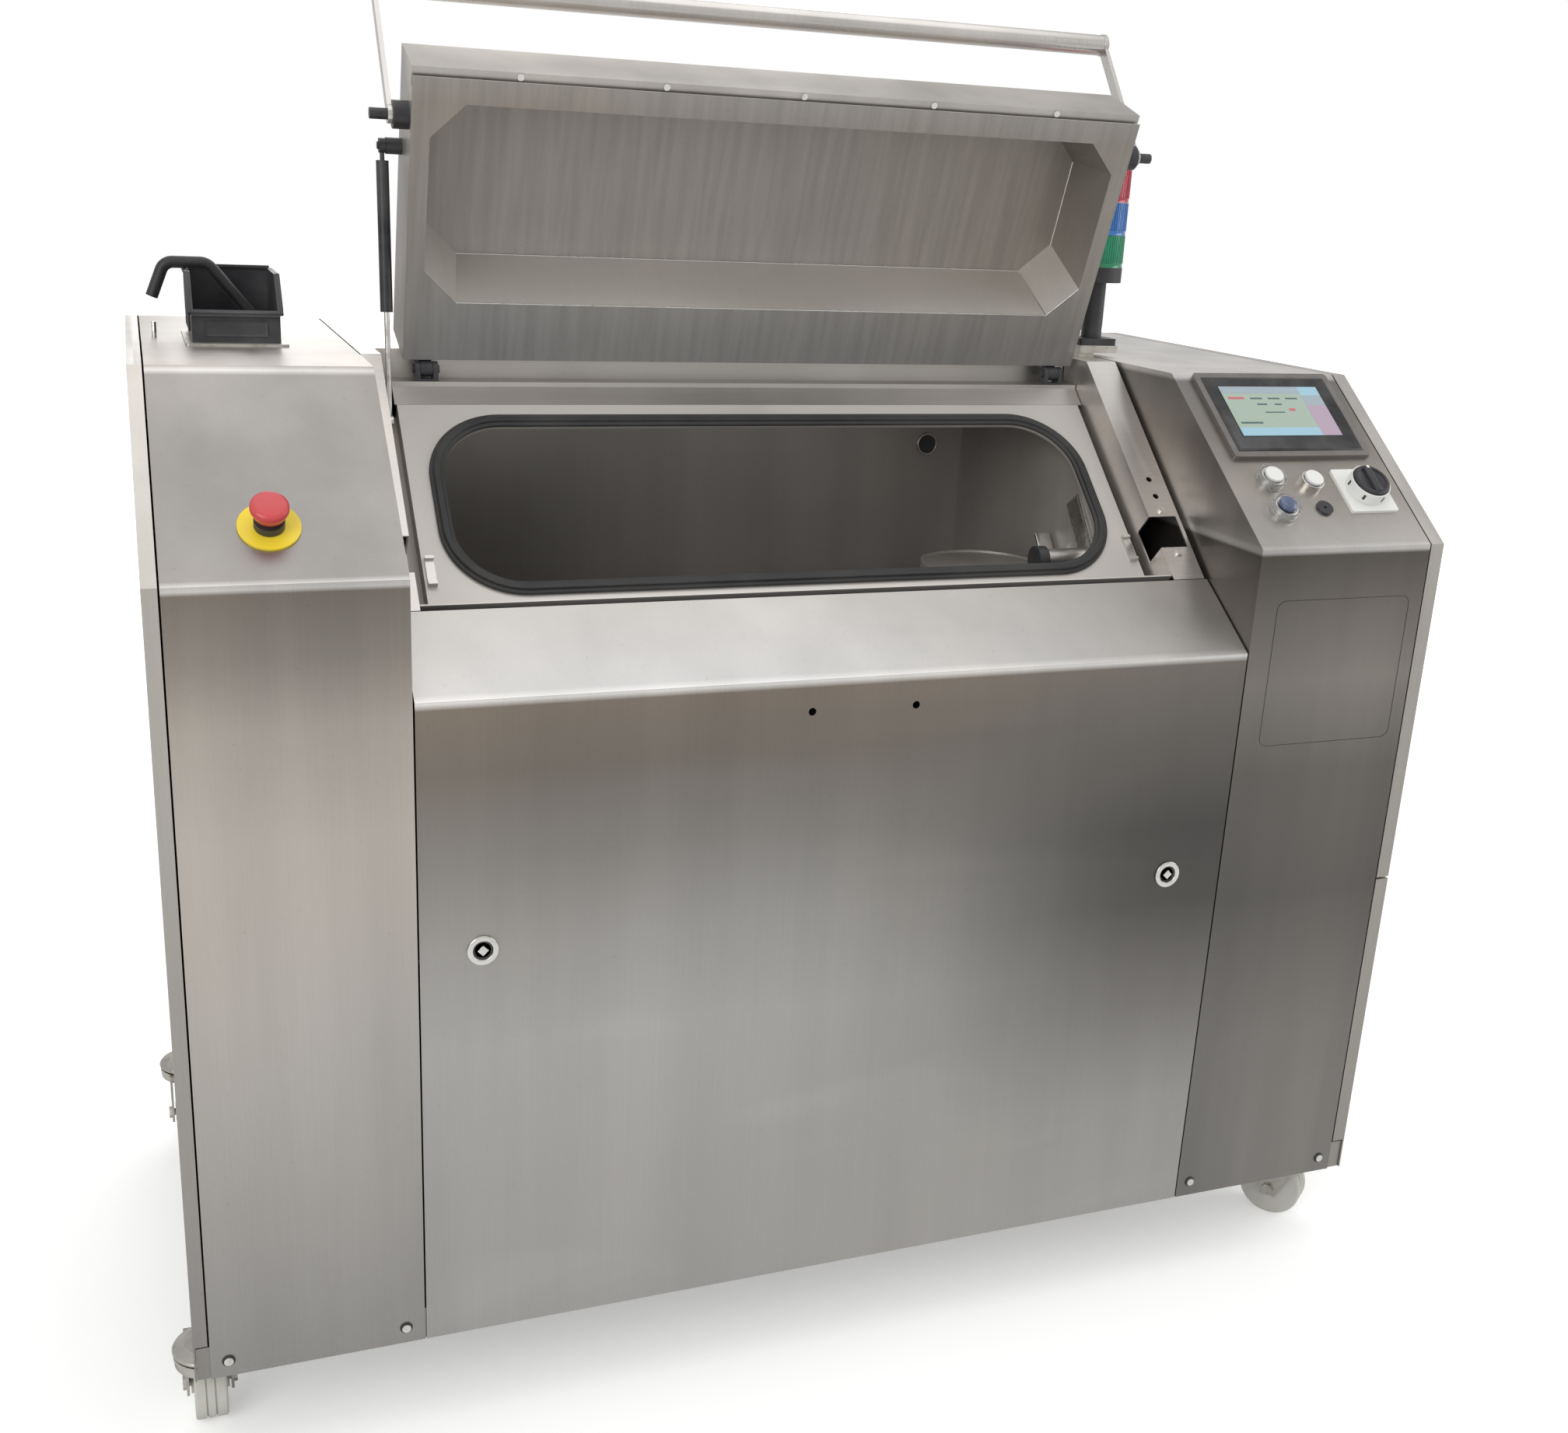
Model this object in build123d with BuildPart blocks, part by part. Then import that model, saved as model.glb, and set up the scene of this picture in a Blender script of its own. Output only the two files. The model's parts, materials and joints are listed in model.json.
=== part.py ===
from build123d import *
from math import atan2, cos, degrees, hypot, radians, sin
import os

os.makedirs("parts", exist_ok=True)

# Free-standing parts washer: two console columns, a tilted wash opening between them and a
# hinged lid. +X to the right, +Y to the back, +Z up, origin on the floor under the middle.

# Cabinet, mm
body_width = 1520
body_depth = 814
floor_gap = 118  # floor to the lower edge of the panels
deck_height = 1069  # lower edge of the panels to the deck
column_front_height = 889
column_run = 235  # depth taken up by a column's sloped face
centre_front_height = 761
apron_run = 102
apron_rise = 69
left_trim = 16
right_trim = 20
left_column_width = 234
right_column_width = 250
metal = 2.0
panel_gap = 1.0
touch_gap = 0.3

left_x = -body_width / 2
right_x = body_width / 2
front_y = -body_depth / 2
back_y = body_depth / 2
edge_z = floor_gap
deck_z = edge_z + deck_height
column_front_z = edge_z + column_front_height
centre_front_z = edge_z + centre_front_height
left_column_x0 = left_x + left_trim
left_column_x1 = left_column_x0 + left_column_width
right_column_x1 = right_x - right_trim
right_column_x0 = right_column_x1 - right_column_width
work_x = (left_column_x1 + right_column_x0) / 2

# Sloped faces
console_angle = degrees(atan2(deck_z - column_front_z, column_run))
console_plane = Plane(
    origin=(0, front_y, column_front_z),
    x_dir=(1, 0, 0),
    z_dir=(0, -sin(radians(console_angle)), cos(radians(console_angle))),
)
rail_angle = 42.2
rail_start_y = front_y + apron_run
rail_start_z = centre_front_z + apron_rise
rail_length = (deck_z - rail_start_z) / sin(radians(rail_angle))
rail_end_y = rail_start_y + rail_length * cos(radians(rail_angle))
rail_plane = Plane(
    origin=(0, rail_start_y, rail_start_z),
    x_dir=(1, 0, 0),
    z_dir=(0, -sin(radians(rail_angle)), cos(radians(rail_angle))),
)
left_rail_width = 24
right_rail_width = 44
rail_end_gap = 4
left_rail_x1 = left_column_x1 + left_rail_width
right_rail_x0 = right_column_x0 - right_rail_width - rail_end_gap
right_rail_x1 = right_rail_x0 + right_rail_width

# Wash opening
flange_sink = 43.4  # flange face below the rail face
flange_thickness = 3
flange_start = 8
flange_end = 317
flange_x0 = left_rail_x1 + 17
flange_x1 = right_rail_x0 - 7
gasket_x0 = flange_x0 + 20
gasket_x1 = flange_x1 - 23
gasket_start = 40
gasket_end = 303
gasket_width = 20
gasket_height = 7.7
gasket_corner = 95
gutter_sink = 66

# Hinge and lid
hinge_along = 366.6
hinge_sink = 37.4
hinge_radius = 5
hinge_hole_clearance = 0.05
lid_open_angle = 112.2
lid_side_room = 53.5  # lid to the column beside it
lid_half_width = (right_column_x0 - left_column_x1) / 2 - lid_side_room
lid_length = 328
lid_depth = 86
lid_foot_gap = 10.7
lid_face_back = 2.0
lid_lip = 9
lid_corner = 5
lid_lean = rail_angle + 90 - lid_open_angle


def rail_point(along, out):
    """Y and Z of a point on the side view of the rails."""
    y = rail_start_y + along * cos(radians(rail_angle)) - out * sin(radians(rail_angle))
    z = rail_start_z + along * sin(radians(rail_angle)) + out * cos(radians(rail_angle))
    return (y, z)


hinge_y, hinge_z = rail_point(hinge_along, -hinge_sink)
lean_sin = sin(radians(lid_lean))
lean_cos = cos(radians(lid_lean))
lid_foot_y = hinge_y - lean_sin * lid_foot_gap + lean_cos * lid_face_back
lid_foot_z = hinge_z + lean_cos * lid_foot_gap + lean_sin * lid_face_back
lid_plane = Plane(
    origin=(work_x, lid_foot_y, lid_foot_z),
    x_dir=(1, 0, 0),
    z_dir=(0, -lean_cos, -lean_sin),
)


def lid_point(up, back):
    """Y and Z of a point on the side view of the lid."""
    y = lid_foot_y - lean_sin * up + lean_cos * back
    z = lid_foot_z + lean_cos * up + lean_sin * back
    return (y, z)


def sheet(points, thickness):
    """Closed outline of a bent sheet whose outer side runs through the points."""
    inner = []
    count = len(points)
    for i, (y, z) in enumerate(points):
        before = points[max(i - 1, 0)]
        after = points[min(i + 1, count - 1)]
        turns = []
        for start, end in ((before, (y, z)), ((y, z), after)):
            run = hypot(end[0] - start[0], end[1] - start[1])
            if run > 0:
                turns.append(((end[1] - start[1]) / run, -(end[0] - start[0]) / run))
        if len(turns) == 1:
            turns = turns * 2
        normal = (turns[0][0] + turns[1][0], turns[0][1] + turns[1][1])
        scale = thickness * 2 / (normal[0] ** 2 + normal[1] ** 2)
        inner.append((y + normal[0] * scale, z + normal[1] * scale))
    return list(points) + inner[::-1] + [points[0]]


column_side = [
    (front_y, edge_z),
    (front_y, column_front_z),
    (front_y + column_run, deck_z),
    (back_y - metal, deck_z),
]

# Base frame: an open channel ring with two cross channels and a drip pan between them
frame_tube = 44
frame_height = 40
frame_x0 = left_x + metal + touch_gap
frame_x1 = right_x - metal - touch_gap
frame_y0 = front_y + metal + touch_gap
frame_y1 = back_y - metal - touch_gap
cross_spots = (left_column_x1 - frame_tube / 2, right_column_x0 + frame_tube / 2)

with BuildPart() as base_frame:
    with BuildSketch(Plane.XY.offset(edge_z)):
        with Locations(((frame_x0 + frame_x1) / 2, (frame_y0 + frame_y1) / 2)):
            Rectangle(frame_x1 - frame_x0, frame_y1 - frame_y0)
            Rectangle(
                frame_x1 - frame_x0 - 2 * frame_tube,
                frame_y1 - frame_y0 - 2 * frame_tube,
                mode=Mode.SUBTRACT,
            )
        for cross_x in cross_spots:
            with Locations((cross_x, 0)):
                Rectangle(frame_tube, frame_y1 - frame_y0 - 2 * frame_tube)
    extrude(amount=frame_height)
    with BuildSketch(Plane.XY.offset(edge_z + metal)):
        with Locations(((frame_x0 + frame_x1) / 2, (frame_y0 + frame_y1) / 2)):
            Rectangle(frame_x1 - frame_x0 - 2 * metal, frame_y1 - frame_y0 - 2 * metal)
            Rectangle(
                frame_x1 - frame_x0 - 2 * (frame_tube - metal),
                frame_y1 - frame_y0 - 2 * (frame_tube - metal),
                mode=Mode.SUBTRACT,
            )
        for cross_x in cross_spots:
            with Locations((cross_x, 0)):
                Rectangle(frame_tube - 2 * metal, frame_y1 - frame_y0 - 2 * metal)
    extrude(amount=frame_height, mode=Mode.SUBTRACT)
    with BuildSketch(Plane.XY.offset(edge_z)):
        with Locations(((frame_x0 + frame_x1) / 2, (frame_y0 + frame_y1) / 2)):
            Rectangle(frame_x1 - frame_x0 - frame_tube, frame_y1 - frame_y0 - frame_tube)
    extrude(amount=metal)
base_frame.part.label = "base_frame"
export_step(base_frame.part, "parts/base_frame.step")

# Casters: plate and kingpin stay on the frame, the fork swivels, the wheel rolls
caster_inset_x = 16
caster_inset_y = 72
caster_plate = 80
caster_plate_thickness = 4
caster_hole_spacing = 60
caster_hole_radius = 4.2
raceway_radius = 33
raceway_height = 8
kingpin_radius = 6
kingpin_end = 4
fork_radius = 38
fork_crown = 5
fork_width = 52
fork_cheek = 3
caster_trail = 27
wheel_radius = 43
wheel_width = 36
wheel_groove = 2
axle_radius = 5
axle_end = 4
hub_radius = 13
hub_proud = 3
wheel_edge = 3
groove_spread = 5
swivel_gap = 0.3
caster_spots = {
    "front_left": (left_x + caster_inset_x, front_y + caster_inset_y, 90),
    "front_right": (right_x - caster_inset_x, front_y + caster_inset_y, 128),
    "rear_left": (left_x + caster_inset_x, back_y - caster_inset_y, -90),
    "rear_right": (right_x - caster_inset_x, back_y - caster_inset_y, -90),
}
race_z = floor_gap - caster_plate_thickness - raceway_height
crown_z = race_z - swivel_gap

with BuildPart() as caster_plates:
    for spot_x, spot_y, _ in caster_spots.values():
        with BuildSketch(Plane.XY.offset(floor_gap - caster_plate_thickness)):
            with Locations((spot_x, spot_y)):
                RectangleRounded(caster_plate, caster_plate, 8)
                with GridLocations(caster_hole_spacing, caster_hole_spacing, 2, 2):
                    Circle(caster_hole_radius, mode=Mode.SUBTRACT)
        extrude(amount=caster_plate_thickness)
        with BuildSketch(Plane.XY.offset(race_z)):
            with Locations((spot_x, spot_y)):
                Circle(raceway_radius)
        extrude(amount=raceway_height)
        with BuildSketch(Plane.XY.offset(crown_z - fork_crown - kingpin_end)):
            with Locations((spot_x, spot_y)):
                Circle(kingpin_radius)
        extrude(amount=fork_crown + kingpin_end + swivel_gap)
caster_plates.part.label = "caster_plates"
export_step(caster_plates.part, "parts/caster_plates.step")

for spot_name, (spot_x, spot_y, heading) in caster_spots.items():
    fork_plane = Plane(
        origin=(spot_x, spot_y, 0),
        x_dir=(cos(radians(heading)), sin(radians(heading)), 0),
        z_dir=(0, 0, 1),
    )
    axle_plane = Plane(
        origin=fork_plane.from_local_coords((caster_trail, 0, wheel_radius)),
        x_dir=fork_plane.x_dir,
        z_dir=(sin(radians(heading)), -cos(radians(heading)), 0),
    )
    with BuildPart() as caster_fork:
        with BuildSketch(fork_plane.offset(crown_z - fork_crown)):
            Circle(fork_radius)
            with Locations((caster_trail / 2, 0)):
                Rectangle(caster_trail + 30, fork_width)
            Circle(kingpin_radius + hinge_hole_clearance, mode=Mode.SUBTRACT)
        extrude(amount=fork_crown)
        for side in (-1, 1):
            with BuildSketch(axle_plane.offset(side * (fork_width - fork_cheek) / 2)):
                with BuildLine():
                    Polyline(
                        (-caster_trail - 16, crown_z - wheel_radius),
                        (-11, -11),
                        (11, -11),
                        (15, crown_z - wheel_radius),
                        (-caster_trail - 16, crown_z - wheel_radius),
                    )
                make_face()
                Circle(axle_radius, mode=Mode.SUBTRACT)
            extrude(amount=fork_cheek / 2, both=True)
        with BuildSketch(axle_plane.offset(-fork_width / 2 - axle_end)):
            Circle(axle_radius)
        extrude(amount=fork_width + 2 * axle_end)
        for side in (-1, 1):
            with BuildSketch(axle_plane.offset(side * (fork_width / 2 + 2))):
                RegularPolygon(8.5, 6)
            extrude(amount=2, both=True)
    caster_fork.part.label = f"caster_fork_{spot_name}"
    export_step(caster_fork.part, f"parts/caster_fork_{spot_name}.step")

    with BuildPart() as caster_wheel:
        with BuildSketch(axle_plane.offset(-wheel_width / 2)):
            Circle(wheel_radius)
        extrude(amount=wheel_width)
        fillet(caster_wheel.edges().filter_by(GeomType.CIRCLE), wheel_edge)
        for groove_at in (-groove_spread, groove_spread):
            with BuildSketch(axle_plane.offset(groove_at - wheel_groove / 2)):
                Circle(wheel_radius + 1)
                Circle(wheel_radius - wheel_groove, mode=Mode.SUBTRACT)
            extrude(amount=wheel_groove, mode=Mode.SUBTRACT)
        with BuildSketch(axle_plane.offset(-wheel_width / 2 - hub_proud)):
            Circle(hub_radius)
        extrude(amount=wheel_width + 2 * hub_proud)
        with BuildSketch(axle_plane.offset(-wheel_width)):
            Circle(axle_radius + hinge_hole_clearance)
        extrude(amount=2 * wheel_width, mode=Mode.SUBTRACT)
    caster_wheel.part.label = f"caster_wheel_{spot_name}"
    export_step(caster_wheel.part, f"parts/caster_wheel_{spot_name}.step")

# Console items on the sloped faces: x, distance up the slope
estop_spot = (left_x + 122, 72)
estop_hole = 11.2
display_size = (206, 146)
display_spot = (right_x - 141, 218)
display_hole = (186, 126)
display_proud = 6
button_spots = {
    "upper_left": (right_x - 207, 110),
    "upper_right": (right_x - 151, 103),
    "lower_left": (right_x - 210, 61),
}
button_hole = 8.2
jack_spot = (right_x - 150, 62)
jack_hole = 8.2
switch_spot = (right_x - 78, 88)
switch_size = 70
switch_hole = 8.2

with BuildPart() as left_column_cover:
    with BuildSketch(Plane.YZ.offset(left_column_x0 + panel_gap)):
        with BuildLine():
            Polyline(*sheet(column_side, metal))
        make_face()
    extrude(amount=left_column_width - 2 * panel_gap)
    with BuildSketch(Plane.YZ.offset(left_column_x1 - panel_gap - metal)):
        with BuildLine():
            Polyline(
                (front_y + metal / 2, edge_z + frame_height + panel_gap),
                (front_y + metal / 2, column_front_z),
                (front_y + column_run, deck_z - metal / 2),
                (back_y - metal, deck_z - metal / 2),
                (back_y - metal, edge_z + frame_height + panel_gap),
                close=True,
            )
        make_face()
    extrude(amount=metal)
    with BuildSketch(console_plane.offset(-3 * metal)):
        with Locations(estop_spot):
            Circle(estop_hole)
    extrude(amount=4 * metal, mode=Mode.SUBTRACT)
left_column_cover.part.label = "left_column_cover"
export_step(left_column_cover.part, "parts/left_column_cover.step")

with BuildPart() as right_column_cover:
    with BuildSketch(Plane.YZ.offset(right_column_x0 + panel_gap)):
        with BuildLine():
            Polyline(*sheet(column_side, metal))
        make_face()
    extrude(amount=right_column_width - 2 * panel_gap)
    with BuildSketch(Plane.YZ.offset(right_column_x0 + panel_gap)):
        with BuildLine():
            Polyline(
                (front_y + metal / 2, edge_z + frame_height + panel_gap),
                (front_y + metal / 2, column_front_z),
                (front_y + column_run, deck_z - metal / 2),
                (back_y - metal, deck_z - metal / 2),
                (back_y - metal, edge_z + frame_height + panel_gap),
                close=True,
            )
        make_face()
    extrude(amount=metal)
    with BuildSketch(console_plane.offset(-3 * metal)):
        with Locations(display_spot):
            Rectangle(*display_hole)
        with Locations(*button_spots.values()):
            Circle(button_hole)
        with Locations(jack_spot):
            Circle(jack_hole)
        with Locations(switch_spot):
            Circle(switch_hole)
    extrude(amount=4 * metal, mode=Mode.SUBTRACT)
right_column_cover.part.label = "right_column_cover"
export_step(right_column_cover.part, "parts/right_column_cover.step")

# Front cover with its apron, two bolt holes and two lock holes
front_hole_radius = 4.5
front_hole_z = centre_front_z - 37
front_holes = [(work_x - 66, front_hole_z), (work_x + 60, front_hole_z)]
lock_z = edge_z + 480
lock_spots = {"left": (left_column_x1 + 68, lock_z), "right": (right_column_x0 - 78, lock_z)}
lock_radius = 15
lock_stem = 9
with BuildPart() as front_cover:
    with BuildSketch(Plane.YZ.offset(left_column_x1 + panel_gap)):
        with BuildLine():
            Polyline(
                *sheet(
                    [
                        (front_y, edge_z),
                        (front_y, centre_front_z),
                        (rail_start_y, rail_start_z),
                    ],
                    metal,
                )
            )
        make_face()
    extrude(amount=right_column_x0 - left_column_x1 - 2 * panel_gap)
    with BuildSketch(Plane.XZ.offset(-front_y - 3 * metal)):
        with Locations(*front_holes):
            Circle(front_hole_radius)
        with Locations(*lock_spots.values()):
            Circle(lock_stem + hinge_hole_clearance)
    extrude(amount=6 * metal, mode=Mode.SUBTRACT)
front_cover.part.label = "front_cover"
export_step(front_cover.part, "parts/front_cover.step")

# Quarter-turn locks: flange, stem and the cam tongue behind the cover
tongue_length = 34
tongue_width = 14
tongue_thickness = 3
lock_proud = 3
lock_depth = 18
key_slot = (5, 18)
key_depth = 2
for lock_name, (lock_x, _) in lock_spots.items():
    with BuildPart() as lock_insert:
        with BuildSketch(Plane.XZ.offset(-front_y)):
            with Locations((lock_x, lock_z)):
                Circle(lock_radius)
        extrude(amount=lock_proud)
        with BuildSketch(Plane.XZ.offset(-front_y + lock_proud)):
            with Locations((lock_x, lock_z)):
                Rectangle(*key_slot)
        extrude(amount=-key_depth, mode=Mode.SUBTRACT)
        with BuildSketch(Plane.XZ.offset(-front_y)):
            with Locations((lock_x, lock_z)):
                Circle(lock_stem)
        extrude(amount=-lock_depth)
        with BuildSketch(Plane.XZ.offset(-front_y - lock_depth + tongue_thickness + 1)):
            with Locations((lock_x, lock_z + (tongue_length - tongue_width) / 2)):
                RectangleRounded(tongue_width, tongue_length, tongue_thickness)
        extrude(amount=-tongue_thickness)
    lock_insert.part.label = f"lock_insert_{lock_name}"
    export_step(lock_insert.part, f"parts/lock_insert_{lock_name}.step")

# Side covers are shallow trays
tray_side = column_side + [(back_y - metal, edge_z)]
with BuildPart() as left_side_panel:
    with BuildSketch(Plane.YZ.offset(left_x)):
        with BuildLine():
            Polyline(*tray_side, close=True)
        make_face()
    extrude(amount=left_trim - panel_gap)
    with BuildSketch(Plane.YZ.offset(left_x + metal)):
        with BuildLine():
            Polyline(*tray_side, close=True)
        make_face()
        offset(amount=-metal, kind=Kind.INTERSECTION, mode=Mode.REPLACE)
    extrude(amount=left_trim, mode=Mode.SUBTRACT)
    with BuildSketch(Plane.XY.offset(edge_z - 1)):
        with Locations((left_x + left_trim / 2 + metal, 0)):
            Rectangle(left_trim, body_depth)
    extrude(amount=frame_height + 4, mode=Mode.SUBTRACT)
left_side_panel.part.label = "left_side_panel"
export_step(left_side_panel.part, "parts/left_side_panel.step")

door_split_z = edge_z + 438
door_gap = 3
door_hinge_radius = 4
door_pin_radius = 2
door_knuckle = 28
door_axis_x = right_x + door_hinge_radius + touch_gap
door_axis_y = back_y + touch_gap
door_hinges = (door_split_z + 90, column_front_z + 60)
with BuildPart() as right_lower_panel:
    with BuildSketch(Plane.YZ.offset(right_x - right_trim + panel_gap)):
        with BuildLine():
            Polyline(
                (front_y, edge_z),
                (front_y, door_split_z),
                (back_y - metal, door_split_z),
                (back_y - metal, edge_z),
                close=True,
            )
        make_face()
    extrude(amount=right_trim - panel_gap)
    with BuildSketch(Plane.YZ.offset(right_x - metal)):
        with BuildLine():
            Polyline(
                (front_y + metal, edge_z - 1),
                (front_y + metal, door_split_z - metal),
                (back_y - 2 * metal, door_split_z - metal),
                (back_y - 2 * metal, edge_z - 1),
                close=True,
            )
        make_face()
    extrude(amount=-right_trim, mode=Mode.SUBTRACT)
    with BuildSketch(Plane.XY.offset(edge_z - 1)):
        with Locations((right_x - right_trim / 2 - metal, 0)):
            Rectangle(right_trim, body_depth)
    extrude(amount=frame_height + 4, mode=Mode.SUBTRACT)
right_lower_panel.part.label = "right_lower_panel"
export_step(right_lower_panel.part, "parts/right_lower_panel.step")

with BuildPart() as right_door:
    with BuildSketch(Plane.YZ.offset(right_x - right_trim + panel_gap)):
        with BuildLine():
            Polyline(
                (front_y, door_split_z + door_gap),
                (front_y, column_front_z),
                (front_y + column_run, deck_z),
                (back_y - metal, deck_z),
                (back_y - metal, door_split_z + door_gap),
                close=True,
            )
        make_face()
    extrude(amount=right_trim - panel_gap)
    with BuildSketch(Plane.YZ.offset(right_x - metal)):
        with BuildLine():
            Polyline(
                (front_y, door_split_z + door_gap),
                (front_y, column_front_z),
                (front_y + column_run, deck_z),
                (back_y - metal, deck_z),
                (back_y - metal, door_split_z + door_gap),
                close=True,
            )
        make_face()
        offset(amount=-metal, kind=Kind.INTERSECTION, mode=Mode.REPLACE)
    extrude(amount=-right_trim, mode=Mode.SUBTRACT)
    for door_hinge_z in door_hinges:
        with BuildSketch(Plane.XY.offset(door_hinge_z + touch_gap)):
            with Locations((right_x + metal / 2, back_y - 14)):
                Rectangle(metal, 28)
            with Locations((door_axis_x, door_axis_y)):
                Circle(door_hinge_radius)
            with Locations((door_axis_x, door_axis_y)):
                Circle(door_pin_radius + hinge_hole_clearance, mode=Mode.SUBTRACT)
        extrude(amount=door_knuckle)
right_door.part.label = "right_door"
export_step(right_door.part, "parts/right_door.step")

# Rear panel with drain and mains holes
drain_spot = (left_column_x1 + 120, edge_z + 110)
drain_radius = 15
gland_spot = (right_column_x0 + 150, edge_z + 120)
gland_radius = 10
with BuildPart() as rear_panel:
    with BuildSketch(Plane.XZ.offset(-back_y)):
        with Locations(((left_x + right_x) / 2, (edge_z + deck_z) / 2)):
            Rectangle(body_width, deck_height)
        with Locations(drain_spot):
            Circle(drain_radius + touch_gap, mode=Mode.SUBTRACT)
        with Locations(gland_spot):
            Circle(gland_radius + touch_gap, mode=Mode.SUBTRACT)
        for row in range(8):
            for bay_x in (left_column_x0 + 117, right_column_x0 + 125):
                with Locations((bay_x, edge_z + 620 + 18 * row)):
                    SlotOverall(120, 5, mode=Mode.SUBTRACT)
    extrude(amount=metal)
    for door_hinge_z in door_hinges:
        with BuildSketch(Plane.XY.offset(door_hinge_z)):
            with Locations((right_x - 12, back_y + metal / 2)):
                Rectangle(32, metal)
            with Locations((door_axis_x, door_axis_y)):
                Circle(door_hinge_radius)
        extrude(amount=-door_knuckle)
        with BuildSketch(Plane.XY.offset(door_hinge_z - 1)):
            with Locations((door_axis_x, door_axis_y)):
                Circle(door_pin_radius)
        extrude(amount=door_knuckle)
rear_panel.part.label = "rear_panel"
export_step(rear_panel.part, "parts/rear_panel.step")

# Gas strut's place: its foot stands in the gutter left of the opening
strut_x = left_column_x1 + 32
strut_foot_y = front_y + 362
strut_foot_z = edge_z + 992
eye_width = 7
foot_swing = 33  # room behind the foot eye while the lid moves
foot_room = 3  # room beside it

# Deck behind the lid and the sill that steps down to the flange
deck_front_y = front_y + 425
notch_x1 = strut_x + eye_width / 2 + foot_room
sill_ledge_z = hinge_z - 13.6
sill_step = rail_point(345, -flange_sink)
deck_line = [
    rail_point(flange_end + touch_gap, -flange_sink),
    sill_step,
    (sill_step[0], sill_ledge_z),
    (deck_front_y, sill_ledge_z),
    (deck_front_y, deck_z),
    (back_y - metal - panel_gap, deck_z),
]
with BuildPart() as top_deck:
    with BuildSketch(Plane.YZ.offset(left_rail_x1 + panel_gap)):
        with BuildLine():
            Polyline(*sheet(deck_line, metal))
        make_face()
    extrude(amount=right_rail_x0 - left_rail_x1 - 2 * panel_gap)
    with BuildSketch(Plane.XY.offset(deck_z - metal)):
        with Locations((work_x, (deck_front_y + back_y - metal - panel_gap) / 2)):
            Rectangle(
                right_column_x0 - left_column_x1 - 2 * panel_gap,
                back_y - metal - panel_gap - deck_front_y,
            )
    extrude(amount=metal)
    with BuildSketch(Plane.XY.offset(deck_z)):
        with Locations(((left_rail_x1 + notch_x1) / 2, strut_foot_y)):
            Rectangle(notch_x1 - left_rail_x1, 2 * foot_swing)
    extrude(amount=-gutter_sink - foot_swing, mode=Mode.SUBTRACT)
top_deck.part.label = "top_deck"
export_step(top_deck.part, "parts/top_deck.step")

# Rails either side of the opening: a strip and an inner web, slotted for the lid's pins
slot_start = 50
slot_end = 98
slot_middle = (slot_start + slot_end) / 2
rail_web = 58
pin_reach = lid_half_width + 41.5
rail_hole_radius = 4
rail_holes = (130, 157)
rail_screws = (41, 107)
rail_sides = {
    "left": (left_column_x1 + panel_gap, left_rail_x1, left_rail_x1 - metal, -1),
    "right": (right_rail_x0, right_rail_x1, right_rail_x0, 1),
}
rail_line = [
    rail_point(panel_gap, 0),
    (rail_end_y, deck_z),
    (deck_front_y - panel_gap, deck_z),
]
web_side = [
    rail_point(flange_start, -metal / 2),
    (rail_end_y, deck_z - metal / 2),
    (deck_front_y - panel_gap, deck_z - metal / 2),
    (deck_front_y - panel_gap, sill_ledge_z - metal),
    rail_point(flange_end + 28, -rail_web),
    rail_point(flange_start, -rail_web),
]
for rail_name, (rail_x0, rail_x1, web_x, outward) in rail_sides.items():
    with BuildPart() as rail:
        with BuildSketch(Plane.YZ.offset(rail_x0)):
            with BuildLine():
                Polyline(*sheet(rail_line, metal))
            make_face()
        extrude(amount=rail_x1 - rail_x0)
        with BuildSketch(Plane.YZ.offset(web_x)):
            with BuildLine():
                Polyline(*web_side, close=True)
            make_face()
        extrude(amount=metal)
        slot_x0 = web_x if outward > 0 else work_x - pin_reach - 3
        slot_x1 = work_x + pin_reach + 3 if outward > 0 else web_x + metal
        with BuildSketch(rail_plane.offset(1)):
            with Locations(((slot_x0 + slot_x1) / 2, slot_middle)):
                Rectangle(slot_x1 - slot_x0 + 0.02, slot_end - slot_start)
        extrude(amount=-35, mode=Mode.SUBTRACT)
        with BuildSketch(rail_plane):
            with Locations(*[((rail_x0 + rail_x1) / 2, along) for along in rail_holes]):
                Circle(rail_hole_radius)
            with Locations(*[((rail_x0 + rail_x1) / 2, along) for along in rail_screws]):
                Circle(2.6)
        extrude(amount=-metal, mode=Mode.SUBTRACT)
    rail.part.label = f"{rail_name}_rail"
    export_step(rail.part, f"parts/{rail_name}_rail.step")

# Wash tank: flange plate, recess walls and tub, welded into one
tank_x0 = gasket_x0 + 8
tank_x1 = gasket_x1 - 8
tank_front_y = front_y + 160
tank_back_y = front_y + 640
tank_floor_z = edge_z + 430
tank_sump_z = edge_z + 400
tank_roof_z = edge_z + 950
opening_x0 = gasket_x0 + gasket_width
opening_x1 = gasket_x1 - gasket_width
opening_start = gasket_start + gasket_width
opening_end = gasket_end - gasket_width
drain_x = (tank_x0 + tank_x1) / 2
drain_y = (tank_front_y + tank_back_y) / 2
drain_hole = 22
under_flange = -flange_sink - flange_thickness


def rail_height(y, out):
    """Height of the plane that lies out from the rail face, at a given Y."""
    lean = radians(rail_angle)
    return rail_start_z + (y - rail_start_y) * sin(lean) / cos(lean) + out / cos(lean)


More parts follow.
